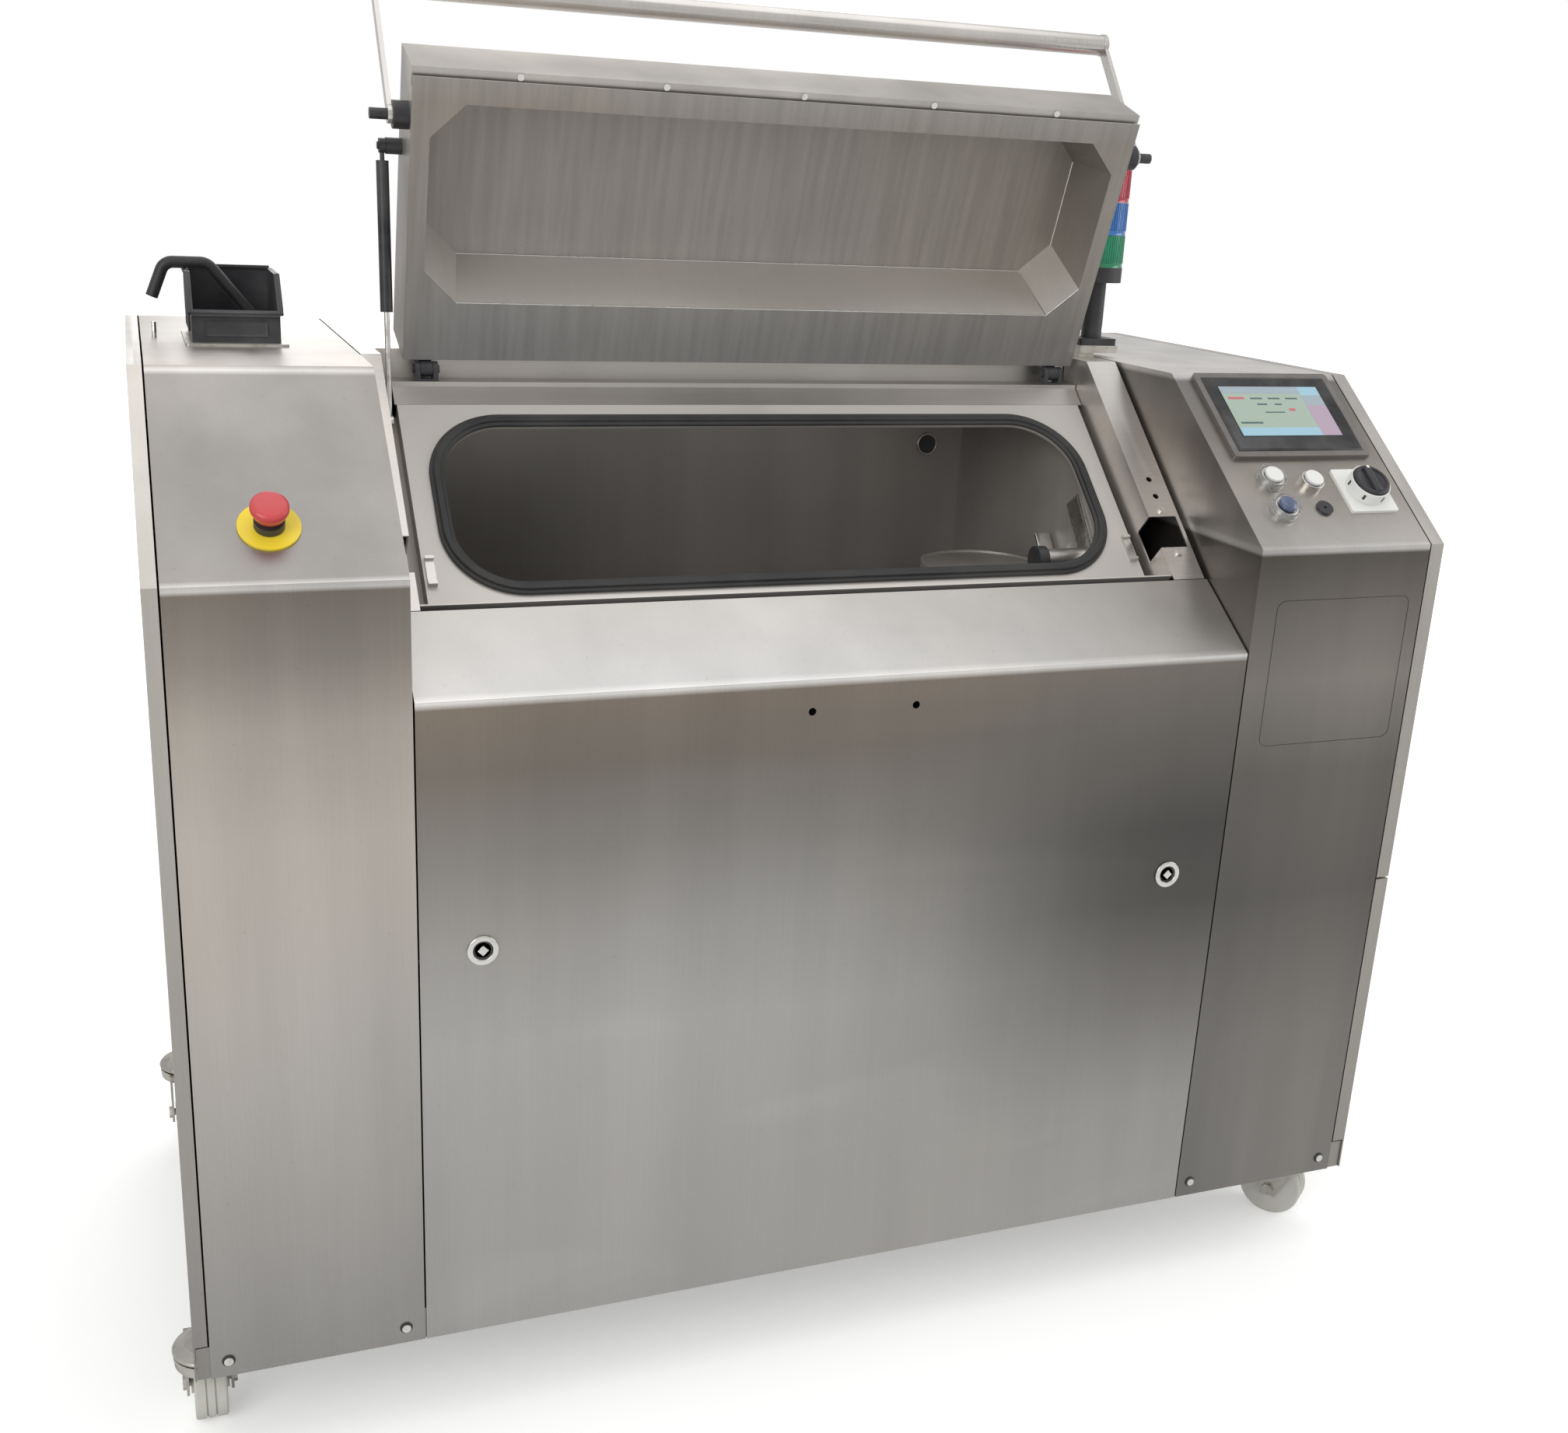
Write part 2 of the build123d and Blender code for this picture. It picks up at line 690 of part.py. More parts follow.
tub_top_y = rail_point(flange_end - 6, under_flange)[0]
tub_side = [
    (tank_front_y, rail_height(tank_front_y, under_flange + 1)),
    (tank_front_y, tank_floor_z),
    (drain_y, tank_sump_z),
    (tank_back_y, tank_floor_z),
    (tank_back_y, tank_roof_z),
    (tub_top_y, rail_height(tub_top_y, under_flange + 1)),
]
with BuildPart() as wash_tank:
    with BuildSketch(Plane.YZ.offset(tank_x0)):
        with BuildLine():
            Polyline(*tub_side, close=True)
        make_face()
    extrude(amount=tank_x1 - tank_x0)
    with BuildSketch(Plane.YZ.offset(tank_x0 + metal)):
        with BuildLine():
            Polyline(*tub_side, close=True)
        make_face()
        offset(amount=-metal, kind=Kind.INTERSECTION, mode=Mode.REPLACE)
    extrude(amount=tank_x1 - tank_x0 - 2 * metal, mode=Mode.SUBTRACT)
    with BuildSketch(rail_plane.offset(under_flange)):
        with Locations(((flange_x0 + flange_x1) / 2, (flange_start + flange_end) / 2)):
            Rectangle(flange_x1 - flange_x0, flange_end - flange_start)
    extrude(amount=flange_thickness)
    with BuildSketch(rail_plane.offset(under_flange)):
        with Locations(((left_rail_x1 + right_rail_x0) / 2, flange_start + metal / 2)):
            Rectangle(right_rail_x0 - left_rail_x1 - panel_gap, metal)
    extrude(amount=-under_flange - metal)
    for gutter_x0, gutter_x1 in (
        (left_rail_x1 + panel_gap / 2, flange_x0),
        (flange_x1, right_rail_x0 - panel_gap / 2),
    ):
        with BuildSketch(rail_plane.offset(-gutter_sink - metal)):
            with Locations(((gutter_x0 + gutter_x1) / 2, (flange_start + flange_end) / 2)):
                Rectangle(gutter_x1 - gutter_x0, flange_end - flange_start)
        extrude(amount=metal)
    for wall_x, wall_dir in ((flange_x0, 1), (flange_x1, -1)):
        with BuildSketch(rail_plane.offset(-gutter_sink - metal)):
            with Locations((wall_x + wall_dir * metal / 2, (flange_start + flange_end) / 2)):
                Rectangle(metal, flange_end - flange_start)
        extrude(amount=gutter_sink + metal - flange_sink)
    with BuildSketch(rail_plane.offset(-gutter_sink - metal)):
        with Locations(((left_rail_x1 + right_rail_x0) / 2, flange_start + metal / 2)):
            Rectangle(right_rail_x0 - left_rail_x1 - panel_gap, metal)
    extrude(amount=gutter_sink)
    with BuildSketch(rail_plane.offset(-flange_sink + 1)):
        with Locations(((opening_x0 + opening_x1) / 2, (opening_start + opening_end) / 2)):
            RectangleRounded(
                opening_x1 - opening_x0,
                opening_end - opening_start,
                gasket_corner - gasket_width,
            )
    extrude(amount=-14, mode=Mode.SUBTRACT)
    with BuildSketch(Plane.XY.offset(tank_sump_z - 20)):
        with Locations((drain_x, drain_y)):
            Circle(drain_hole)
    extrude(amount=60, mode=Mode.SUBTRACT)
wash_tank.part.label = "wash_tank"
export_step(wash_tank.part, "parts/wash_tank.step")

with BuildPart() as tank_gasket:
    with BuildSketch(rail_plane.offset(-flange_sink)):
        with Locations(((gasket_x0 + gasket_x1) / 2, (gasket_start + gasket_end) / 2)):
            RectangleRounded(gasket_x1 - gasket_x0, gasket_end - gasket_start, gasket_corner)
            RectangleRounded(
                opening_x1 - opening_x0,
                opening_end - opening_start,
                gasket_corner - gasket_width,
                mode=Mode.SUBTRACT,
            )
    extrude(amount=gasket_height)
    gasket_rim = tank_gasket.faces().sort_by(Axis(rail_plane.origin, rail_plane.z_dir))[-1]
    fillet(gasket_rim.edges(), 2.5)
tank_gasket.part.label = "tank_gasket"
export_step(tank_gasket.part, "parts/tank_gasket.step")

# Lid: outer shell, inner liner with the eight-sided dish, lip screws
shell_gap = 0.3
with BuildPart() as lid_shell:
    with BuildSketch(lid_plane.offset(-metal - shell_gap)):
        with Locations((0, (lid_length + lid_lip) / 2)):
            Rectangle(2 * lid_half_width, lid_length + lid_lip)
    extrude(amount=-(lid_depth - metal - shell_gap))
    shell_back = lid_shell.faces().sort_by(Axis(lid_plane.origin, lid_plane.z_dir))[0]
    fillet(shell_back.edges(), lid_corner)
    with BuildSketch(lid_plane.offset(-metal - shell_gap)):
        with Locations((0, (lid_length + lid_lip) / 2)):
            Rectangle(2 * (lid_half_width - metal), lid_length + lid_lip - 2 * metal)
    extrude(amount=-(lid_depth - 2 * metal - shell_gap), mode=Mode.SUBTRACT)
    with BuildSketch(lid_plane.offset(-metal - shell_gap)):
        with Locations((0, lid_length + lid_lip / 2 - 6)):
            Rectangle(2 * lid_half_width, lid_lip + 12)
    extrude(amount=-4, mode=Mode.SUBTRACT)
    with BuildSketch(lid_plane.offset(-metal - shell_gap - 4)):
        with Locations((0, lid_length + lid_lip / 2 - 6)):
            Rectangle(2 * lid_half_width, lid_lip + 12)
        with Locations(*[(x, lid_length + lid_lip / 2) for x in (-330, -165, 0, 165, 330)]):
            Circle(2.1, mode=Mode.SUBTRACT)
    extrude(amount=-metal)
lid_shell.part.label = "lid_shell"
export_step(lid_shell.part, "parts/lid_shell.step")

dish_side = 20.5
dish_top = 27
dish_bottom = 72
dish_corner = 38
dish_depth = 80
dish_draft_side = 12
dish_draft_top = 12
dish_draft_bottom = 28
liner_sheet = 1.5


def dish_outline(inset, side_draft, top_draft, bottom_draft):
    """Eight-sided outline on the lid face, moved inwards by a draft and outwards by an inset."""
    half = lid_half_width - dish_side - side_draft + inset
    low = dish_bottom + bottom_draft - inset
    high = lid_length - dish_top - top_draft + inset
    cut = dish_corner
    return [
        (-half + cut, low),
        (half - cut, low),
        (half, low + cut),
        (half, high - cut),
        (half - cut, high),
        (-half + cut, high),
        (-half, high - cut),
        (-half, low + cut),
    ]


with BuildPart() as lid_liner:
    with BuildSketch(lid_plane.offset(-metal)):
        with Locations((0, lid_length / 2)):
            Rectangle(2 * lid_half_width, lid_length)
    extrude(amount=metal)
    with BuildSketch(lid_plane.offset(-metal / 2)):
        with BuildLine():
            Polyline(*dish_outline(liner_sheet, 0, 0, 0), close=True)
        make_face()
    with BuildSketch(lid_plane.offset(-dish_depth - liner_sheet)):
        with BuildLine():
            Polyline(
                *dish_outline(liner_sheet, dish_draft_side, dish_draft_top, dish_draft_bottom),
                close=True,
            )
        make_face()
    loft()
    with BuildSketch(lid_plane):
        with BuildLine():
            Polyline(*dish_outline(0, 0, 0, 0), close=True)
        make_face()
    with BuildSketch(lid_plane.offset(-dish_depth)):
        with BuildLine():
            Polyline(
                *dish_outline(0, dish_draft_side, dish_draft_top, dish_draft_bottom), close=True
            )
        make_face()
    loft(mode=Mode.SUBTRACT)
lid_liner.part.label = "lid_liner"
export_step(lid_liner.part, "parts/lid_liner.step")

with BuildPart() as lid_screws:
    for screw_x in (-330, -165, 0, 165, 330):
        with BuildSketch(lid_plane.offset(-metal - shell_gap - 4)):
            with Locations((screw_x, lid_length + lid_lip / 2)):
                Circle(3.8)
        extrude(amount=2.2)
        with BuildSketch(lid_plane.offset(-metal - shell_gap - 4)):
            with Locations((screw_x, lid_length + lid_lip / 2)):
                Circle(2)
        extrude(amount=-8)
lid_screws.part.label = "lid_screws"
export_step(lid_screws.part, "parts/lid_screws.step")

# Hinges: cabinet brackets with their pins, lugs on the lid
hinge_spots = (work_x - lid_half_width + 26.5, work_x + lid_half_width - 28.5)
lug_width = 14
ear_width = 6
ear_gap = 0.5
lug_radius = 9
with BuildPart() as hinge_brackets:
    for spot_x in hinge_spots:
        for side in (-1, 1):
            ear_x = spot_x + side * (lug_width / 2 + ear_gap + ear_width / 2)
            with BuildSketch(Plane.YZ.offset(ear_x)):
                with Locations((hinge_y, hinge_z)):
                    Circle(lug_radius)
                with Locations((hinge_y, (hinge_z + sill_ledge_z) / 2)):
                    Rectangle(2 * lug_radius, hinge_z - sill_ledge_z)
                with Locations((hinge_y, hinge_z)):
                    Circle(hinge_radius, mode=Mode.SUBTRACT)
            extrude(amount=ear_width / 2, both=True)
        with BuildSketch(Plane.YZ.offset(spot_x)):
            with Locations((hinge_y, hinge_z)):
                Circle(hinge_radius)
        extrude(amount=lug_width / 2 + ear_gap + ear_width + 2, both=True)
        with BuildSketch(Plane.XY.offset(sill_ledge_z)):
            with Locations((spot_x, hinge_y)):
                Rectangle(lug_width + 2 * (ear_gap + ear_width), 2 * lug_radius)
        extrude(amount=2.5)
hinge_brackets.part.label = "hinge_brackets"
export_step(hinge_brackets.part, "parts/hinge_brackets.step")

# Lid brackets: hinge lugs under the lid, pivot pins and the strut stud on its sides
handle_up = 279
handle_back = 21.7
pivot_y, pivot_z = lid_point(handle_up, handle_back)
arm_reach = lid_half_width + 17.5  # inner face of an arm from the lid's middle
arm_thickness = 5
arm_width = 14
pivot_flange = 15
pivot_radius = 6
strut_up = 230
strut_back = 62
strut_top_y, strut_top_z = lid_point(strut_up, strut_back)
strut_radius = 7
stud_radius = 4
with BuildPart() as lid_brackets:
    for spot_x in hinge_spots:
        with BuildSketch(Plane.YZ.offset(spot_x)):
            with Locations((hinge_y, hinge_z)):
                Circle(lug_radius)
            with BuildLine():
                Polyline(
                    lid_point(-lid_foot_gap - 4, 4),
                    lid_point(-touch_gap, 4),
                    lid_point(-touch_gap, 26),
                    lid_point(-lid_foot_gap, 10),
                    close=True,
                )
            make_face()
            with Locations((hinge_y, hinge_z)):
                Circle(hinge_radius + hinge_hole_clearance, mode=Mode.SUBTRACT)
        extrude(amount=lug_width / 2, both=True)
    for side in (-1, 1):
        with BuildSketch(Plane.YZ.offset(work_x + side * lid_half_width)):
            with Locations((pivot_y, pivot_z)):
                Circle(pivot_flange)
        extrude(amount=side * (arm_reach - lid_half_width - touch_gap))
        with BuildSketch(Plane.YZ.offset(work_x + side * lid_half_width)):
            with Locations((pivot_y, pivot_z)):
                Circle(pivot_radius)
        extrude(amount=side * (pin_reach - lid_half_width))
    with BuildSketch(Plane.YZ.offset(work_x - lid_half_width)):
        with Locations((strut_top_y, strut_top_z)):
            Circle(9)
    extrude(amount=-(work_x - lid_half_width - strut_x - eye_width / 2 - touch_gap))
    with BuildSketch(Plane.YZ.offset(work_x - lid_half_width)):
        with Locations((strut_top_y, strut_top_z)):
            Circle(stud_radius)
    extrude(amount=-(work_x - lid_half_width - strut_x + eye_width / 2 + 2))
lid_brackets.part.label = "lid_brackets"
export_step(lid_brackets.part, "parts/lid_brackets.step")

# Handle: a bar between two arms that turn on the lid's pivot pins
bar_forward = 108
bar_rise = 139
bar_radius = 12.5
bar_y = pivot_y + bar_forward
bar_z = pivot_z + bar_rise
with BuildPart() as handle_bar:
    with BuildSketch(Plane.YZ.offset(work_x)):
        with Locations((bar_y, bar_z)):
            Circle(bar_radius)
            Circle(bar_radius - metal, mode=Mode.SUBTRACT)
    extrude(amount=arm_reach, both=True)
handle_bar.part.label = "handle_bar"
export_step(handle_bar.part, "parts/handle_bar.step")

arm_length = hypot(bar_forward, bar_rise)
arm_tilt = degrees(atan2(bar_rise, bar_forward))
with BuildPart() as handle_arms:
    for side in (-1, 1):
        with BuildSketch(Plane.YZ.offset(work_x + side * arm_reach)):
            with Locations((pivot_y + bar_forward / 2, pivot_z + bar_rise / 2)):
                Rectangle(arm_length, arm_width, rotation=arm_tilt)
            with Locations((pivot_y, pivot_z)):
                Circle(pivot_radius + 4)
            with Locations((bar_y, bar_z)):
                Circle(bar_radius + 1)
            with Locations((pivot_y, pivot_z)):
                Circle(pivot_radius + hinge_hole_clearance, mode=Mode.SUBTRACT)
        extrude(amount=side * arm_thickness)
        with BuildSketch(Plane.YZ.offset(work_x + side * (arm_reach + arm_thickness))):
            with Locations((bar_y, bar_z)):
                Circle(7)
        extrude(amount=side * 4)
handle_arms.part.label = "handle_arms"
export_step(handle_arms.part, "parts/handle_arms.step")

# Gas strut: cylinder on the lid's stud, rod down to the cabinet's stud
strut_length = hypot(strut_foot_y - strut_top_y, strut_foot_z - strut_top_z)
strut_plane = Plane(
    origin=(strut_x, strut_top_y, strut_top_z),
    x_dir=(1, 0, 0),
    z_dir=(0, strut_foot_y - strut_top_y, strut_foot_z - strut_top_z),
)
turn = radians(lid_open_angle)
top_back = strut_top_y - hinge_y
top_up = strut_top_z - hinge_z
closed_top_y = hinge_y + top_back * cos(turn) - top_up * sin(turn)
closed_top_z = hinge_z + top_back * sin(turn) + top_up * cos(turn)
strut_stroke = strut_length - hypot(strut_foot_y - closed_top_y, strut_foot_z - closed_top_z)
cylinder_start = 16
cylinder_length = 165
cylinder_end = 6
rod_end_gap = 2
rod_top = cylinder_start + cylinder_end + strut_stroke + rod_end_gap
rod_radius = 3
neck_radius = 2.5
with BuildPart() as strut_cylinder:
    with BuildSketch(strut_plane.offset(cylinder_start)):
        Circle(strut_radius)
    extrude(amount=cylinder_length)
    with BuildSketch(strut_plane.offset(cylinder_start + cylinder_end)):
        Circle(rod_radius + hinge_hole_clearance)
    extrude(amount=cylinder_length, mode=Mode.SUBTRACT)
    with BuildSketch(strut_plane.offset(4)):
        Circle(neck_radius)
    extrude(amount=cylinder_start - 3)
    with BuildSketch(Plane.YZ.offset(strut_x)):
        with Locations((strut_top_y, strut_top_z)):
            Circle(8)
            Circle(stud_radius + hinge_hole_clearance, mode=Mode.SUBTRACT)
    extrude(amount=eye_width / 2, both=True)
strut_cylinder.part.label = "strut_cylinder"
export_step(strut_cylinder.part, "parts/strut_cylinder.step")

eye_radius = 7
with BuildPart() as strut_rod:
    with BuildSketch(strut_plane.offset(rod_top)):
        Circle(rod_radius)
    extrude(amount=strut_length - rod_top - rod_radius)
    with BuildSketch(Plane.YZ.offset(strut_x)):
        with Locations((strut_foot_y, strut_foot_z)):
            Circle(eye_radius)
    extrude(amount=eye_width / 2, both=True)
strut_rod.part.label = "strut_rod"
export_step(strut_rod.part, "parts/strut_rod.step")

# Small fittings in the recess: latch catches beside the flange, the strut's foot bracket
catch_along = (62, 96)
foot_along = (strut_foot_y - rail_start_y) * cos(radians(rail_angle)) + (
    strut_foot_z - rail_start_z
) * sin(radians(rail_angle))
foot_plate_x0 = left_rail_x1 + panel_gap + 0.5
foot_plate_x1 = strut_x - eye_width / 2 - touch_gap
with BuildPart() as recess_fittings:
    for catch_x, catch_dir in ((flange_x0 + 3, 1), (flange_x1 - 13, 1)):
        with BuildSketch(rail_plane.offset(-flange_sink)):
            with Locations((catch_x + 5, sum(catch_along) / 2)):
                Rectangle(10, catch_along[1] - catch_along[0])
        extrude(amount=3)
        for along in catch_along:
            with BuildSketch(rail_plane.offset(-flange_sink)):
                with Locations((catch_x + 5, along)):
                    Rectangle(10, 4)
            extrude(amount=6.5)
    with BuildSketch(rail_plane.offset(-gutter_sink)):
        with Locations(((foot_plate_x0 + foot_plate_x1) / 2, foot_along)):
            Rectangle(foot_plate_x1 - foot_plate_x0, 22)
    extrude(amount=17)
recess_fittings.part.label = "recess_fittings"
export_step(recess_fittings.part, "parts/recess_fittings.step")

# Emergency stop on the left console
estop_disc_radius = 30.5
estop_travel = 5
with BuildPart() as estop_disc:
    with BuildSketch(console_plane):
        with Locations(estop_spot):
            Circle(estop_disc_radius)
            Circle(estop_hole, mode=Mode.SUBTRACT)
    extrude(amount=2.5)
estop_disc.part.label = "estop_disc"
export_step(estop_disc.part, "parts/estop_disc.step")

with BuildPart() as estop_collar:
    with BuildSketch(console_plane.offset(2.5)):
        with Locations(estop_spot):
            Circle(15)
    extrude(amount=9)
    with BuildSketch(console_plane.offset(-30)):
        with Locations(estop_spot):
            Circle(estop_hole - touch_gap)
    extrude(amount=32.5)
    with BuildSketch(console_plane.offset(-46)):
        with Locations(estop_spot):
            Rectangle(28, 34)
    extrude(amount=16)
    with BuildSketch(console_plane.offset(-20)):
        with Locations(estop_spot):
            Circle(7 + hinge_hole_clearance)
    extrude(amount=40, mode=Mode.SUBTRACT)
estop_collar.part.label = "estop_collar"
export_step(estop_collar.part, "parts/estop_collar.step")

with BuildPart() as estop_head:
    with BuildSketch(console_plane.offset(2.5 + 9 + estop_travel + 1)):
        with Locations(estop_spot):
            Circle(19)
    extrude(amount=17)
    estop_top = estop_head.faces().sort_by(Axis(console_plane.origin, console_plane.z_dir))[-1]
    fillet(estop_top.edges(), 5)
    with BuildSketch(console_plane.offset(-13)):
        with Locations(estop_spot):
            Circle(7)
    extrude(amount=13 + 2.5 + 9 + estop_travel + 2)
estop_head.part.label = "estop_head"
export_step(estop_head.part, "parts/estop_head.step")

# Display
with BuildPart() as hmi_bezel:
    with BuildSketch(console_plane):
        with Locations(display_spot):
            RectangleRounded(*display_size, 5)
    extrude(amount=display_proud)
    with BuildSketch(console_plane):
        with Locations(display_spot):
            Rectangle(display_hole[0] - 2, display_hole[1] - 2)
    extrude(amount=-34)
    with BuildSketch(console_plane.offset(display_proud)):
        with Locations((display_spot[0] + 3, display_spot[1] + 6)):
            Rectangle(158, 90)
    extrude(amount=-2, mode=Mode.SUBTRACT)
hmi_bezel.part.label = "hmi_bezel"
export_step(hmi_bezel.part, "parts/hmi_bezel.step")

with BuildPart() as hmi_screen:
    with BuildSketch(console_plane.offset(display_proud - 2)):
        with Locations((display_spot[0] + 3, display_spot[1] + 6)):
            Rectangle(157.4, 89.4)
    extrude(amount=1.2)
hmi_screen.part.label = "hmi_screen"
export_step(hmi_screen.part, "parts/hmi_screen.step")

# Push buttons: rings stay in the console, caps travel
button_ring_radius = 15
button_cap_radius = 10.5
button_travel = 3
button_proud = 7
with BuildPart() as button_rings:
    for spot in button_spots.values():
        with BuildSketch(console_plane):
            with Locations(spot):
                Circle(button_ring_radius)
        extrude(amount=button_proud)
        with BuildSketch(console_plane):
            with Locations(spot):
                Circle(button_hole - touch_gap)
        extrude(amount=-26)
        with BuildSketch(console_plane.offset(button_proud)):
            with Locations(spot):
                Circle(button_cap_radius + touch_gap)
        extrude(amount=-button_travel - 1.5, mode=Mode.SUBTRACT)
        with BuildSketch(console_plane.offset(button_proud)):
            with Locations(spot):
                Circle(4 + hinge_hole_clearance)
        extrude(amount=-20, mode=Mode.SUBTRACT)
button_rings.part.label = "button_rings"
export_step(button_rings.part, "parts/button_rings.step")

for spot_name, spot in button_spots.items():
    with BuildPart() as button_cap:
        with BuildSketch(console_plane.offset(button_proud - 1)):
            with Locations(spot):
                Circle(button_cap_radius)
        extrude(amount=3)
        with BuildSketch(console_plane.offset(button_proud - 1)):
            with Locations(spot):
                Circle(4)
        extrude(amount=-14)
    button_cap.part.label = f"button_{spot_name}"
    export_step(button_cap.part, f"parts/button_{spot_name}.step")

# Earthing jack
jack_bore = 2
jack_depth = 18
with BuildPart() as earth_jack:
    with BuildSketch(console_plane):
        with Locations(jack_spot):
            Circle(11)
    extrude(amount=3)
    with BuildSketch(console_plane):
        with Locations(jack_spot):
            Circle(jack_hole - touch_gap)
    extrude(amount=-jack_depth - 4)
    with BuildSketch(console_plane.offset(3)):
        with Locations(jack_spot):
            Circle(jack_bore)
    extrude(amount=-jack_depth, mode=Mode.SUBTRACT)
earth_jack.part.label = "earth_jack"
export_step(earth_jack.part, "parts/earth_jack.step")

# Main switch
with BuildPart() as switch_plate:
    with BuildSketch(console_plane):
        with Locations(switch_spot):
            RectangleRounded(switch_size, switch_size, 3)
    extrude(amount=4)
    with BuildSketch(console_plane.offset(4)):
        with Locations(switch_spot):
            Circle(26)
    extrude(amount=7)
    with BuildSketch(console_plane):
        with Locations(switch_spot):
            Circle(switch_hole - touch_gap)
    extrude(amount=-20)
    with BuildSketch(console_plane.offset(-20)):
        with Locations(switch_spot):
            Rectangle(50, 50)
    extrude(amount=-40)
    with BuildSketch(console_plane.offset(11)):
        with Locations(switch_spot):
            Circle(5 + hinge_hole_clearance)
    extrude(amount=-24, mode=Mode.SUBTRACT)
switch_plate.part.label = "switch_plate"
export_step(switch_plate.part, "parts/switch_plate.step")

with BuildPart() as switch_knob:
    with BuildSketch(console_plane.offset(11 + touch_gap)):
        with Locations(switch_spot):
            Circle(21)
    extrude(amount=7)
    with BuildSketch(console_plane.offset(18)):
        with Locations(switch_spot):
            RectangleRounded(12, 40, 3)
    extrude(amount=12)
    with BuildSketch(console_plane.offset(11 + touch_gap)):
        with Locations(switch_spot):
            Circle(5)
    extrude(amount=-20)
switch_knob.part.label = "switch_knob"
export_step(switch_knob.part, "parts/switch_knob.step")

# Deck brackets: the stack light's foot bracket and the tray under the parts bin
bin_x0 = left_x + 72
bin_width = 98
bin_y0 = front_y + 438
bin_length = 150
tray_sheet = 3
stack_x = right_column_x0
stack_y = front_y + 442
stack_foot_z = deck_z + 16
stack_radius = 33
lens_height = 42
stack_base_z = stack_foot_z + 84
stack_levels = ("green", "blue", "red")
with BuildPart() as deck_brackets:
    with BuildSketch(Plane.XY.offset(stack_foot_z - 10)):
        with Locations((stack_x, stack_y)):
            Rectangle(58, 50)
    extrude(amount=10)
    with BuildSketch(Plane.XY.offset(deck_z)):
        with Locations((stack_x - 16, stack_y)):
            Rectangle(22, 40)
    extrude(amount=stack_foot_z - deck_z - 5)
    with BuildSketch(Plane.XY.offset(deck_z)):
        with Locations((bin_x0 + bin_width / 2, bin_y0 + bin_length / 2 - 4)):
            RectangleRounded(bin_width + 16, bin_length + 20, 4)
    extrude(amount=tray_sheet)
deck_brackets.part.label = "deck_brackets"
export_step(deck_brackets.part, "parts/deck_brackets.step")

with BuildPart() as stack_pole:
    with BuildSketch(Plane.XY.offset(stack_foot_z)):
        with Locations((stack_x, stack_y)):
            RectangleRounded(56, 46, 4)
    extrude(amount=9)
    with BuildSketch(Plane.XY.offset(stack_foot_z)):
        with Locations((stack_x, stack_y)):
            Circle(14)
    extrude(amount=stack_base_z - stack_foot_z)
    with BuildSketch(Plane.XY.offset(stack_base_z)):
        with Locations((stack_x, stack_y)):
            Circle(stack_radius)
    extrude(amount=20)
stack_pole.part.label = "stack_pole"
export_step(stack_pole.part, "parts/stack_pole.step")

for level, lens_name in enumerate(stack_levels):
    lens_z = stack_base_z + 20 + level * (lens_height + touch_gap)
    with BuildPart() as stack_lens:
        with BuildSketch(Plane.XY.offset(lens_z)):
            with Locations((stack_x, stack_y)):
                Circle(stack_radius)
        extrude(amount=lens_height)
        if level == len(stack_levels) - 1:
            fillet(stack_lens.edges().group_by(Axis.Z)[-1], 8)
    stack_lens.part.label = f"stack_lens_{lens_name}"
    export_step(stack_lens.part, f"parts/stack_lens_{lens_name}.step")

# Parts bin on the left deck, open at the front, and the hook rod hung over its side
bin_height = 76
bin_lip = 34
bin_wall = 2.5
bin_z = deck_z + tray_sheet
bin_side = [
    (bin_y0, bin_z),
    (bin_y0 + bin_length, bin_z),
    (bin_y0 + bin_length, bin_z + bin_height),
    (bin_y0 + 40, bin_z + bin_height),
    (bin_y0, bin_z + bin_lip),
]
with BuildPart() as parts_bin:
    with BuildSketch(Plane.YZ.offset(bin_x0)):
        with BuildLine():
            Polyline(*bin_side, close=True)
        make_face()
    extrude(amount=bin_width)
    with BuildSketch(Plane.XY.offset(bin_z + bin_wall)):
        with Locations((bin_x0 + bin_width / 2, bin_y0 + bin_length / 2)):
            Rectangle(bin_width - 2 * bin_wall, bin_length - 2 * bin_wall)
    extrude(amount=bin_height, mode=Mode.SUBTRACT)
parts_bin.part.label = "parts_bin"
export_step(parts_bin.part, "parts/parts_bin.step")

rod_sleeve_radius = 7
rod_y = bin_y0 + 95
rod_floor_z = bin_z + bin_wall + rod_sleeve_radius + touch_gap
rod_rim_z = bin_z + bin_height + rod_sleeve_radius + touch_gap
rod_points = [
    (bin_x0 + bin_width - 16, rod_floor_z + 2),
    (bin_x0 + 24, rod_rim_z),
    (bin_x0 - 24, rod_rim_z),
    (bin_x0 - 40, rod_rim_z - 40),
]
with BuildPart() as hook_rod:
    with BuildLine(Plane.XZ.offset(-rod_y)):
        rod_path = FilletPolyline(*rod_points, radius=[16, 15])
    with BuildSketch(Plane(origin=rod_path @ 0, z_dir=rod_path % 0)):
        Circle(rod_sleeve_radius)
    sweep()
hook_rod.part.label = "hook_rod"
export_step(hook_rod.part, "parts/hook_rod.step")

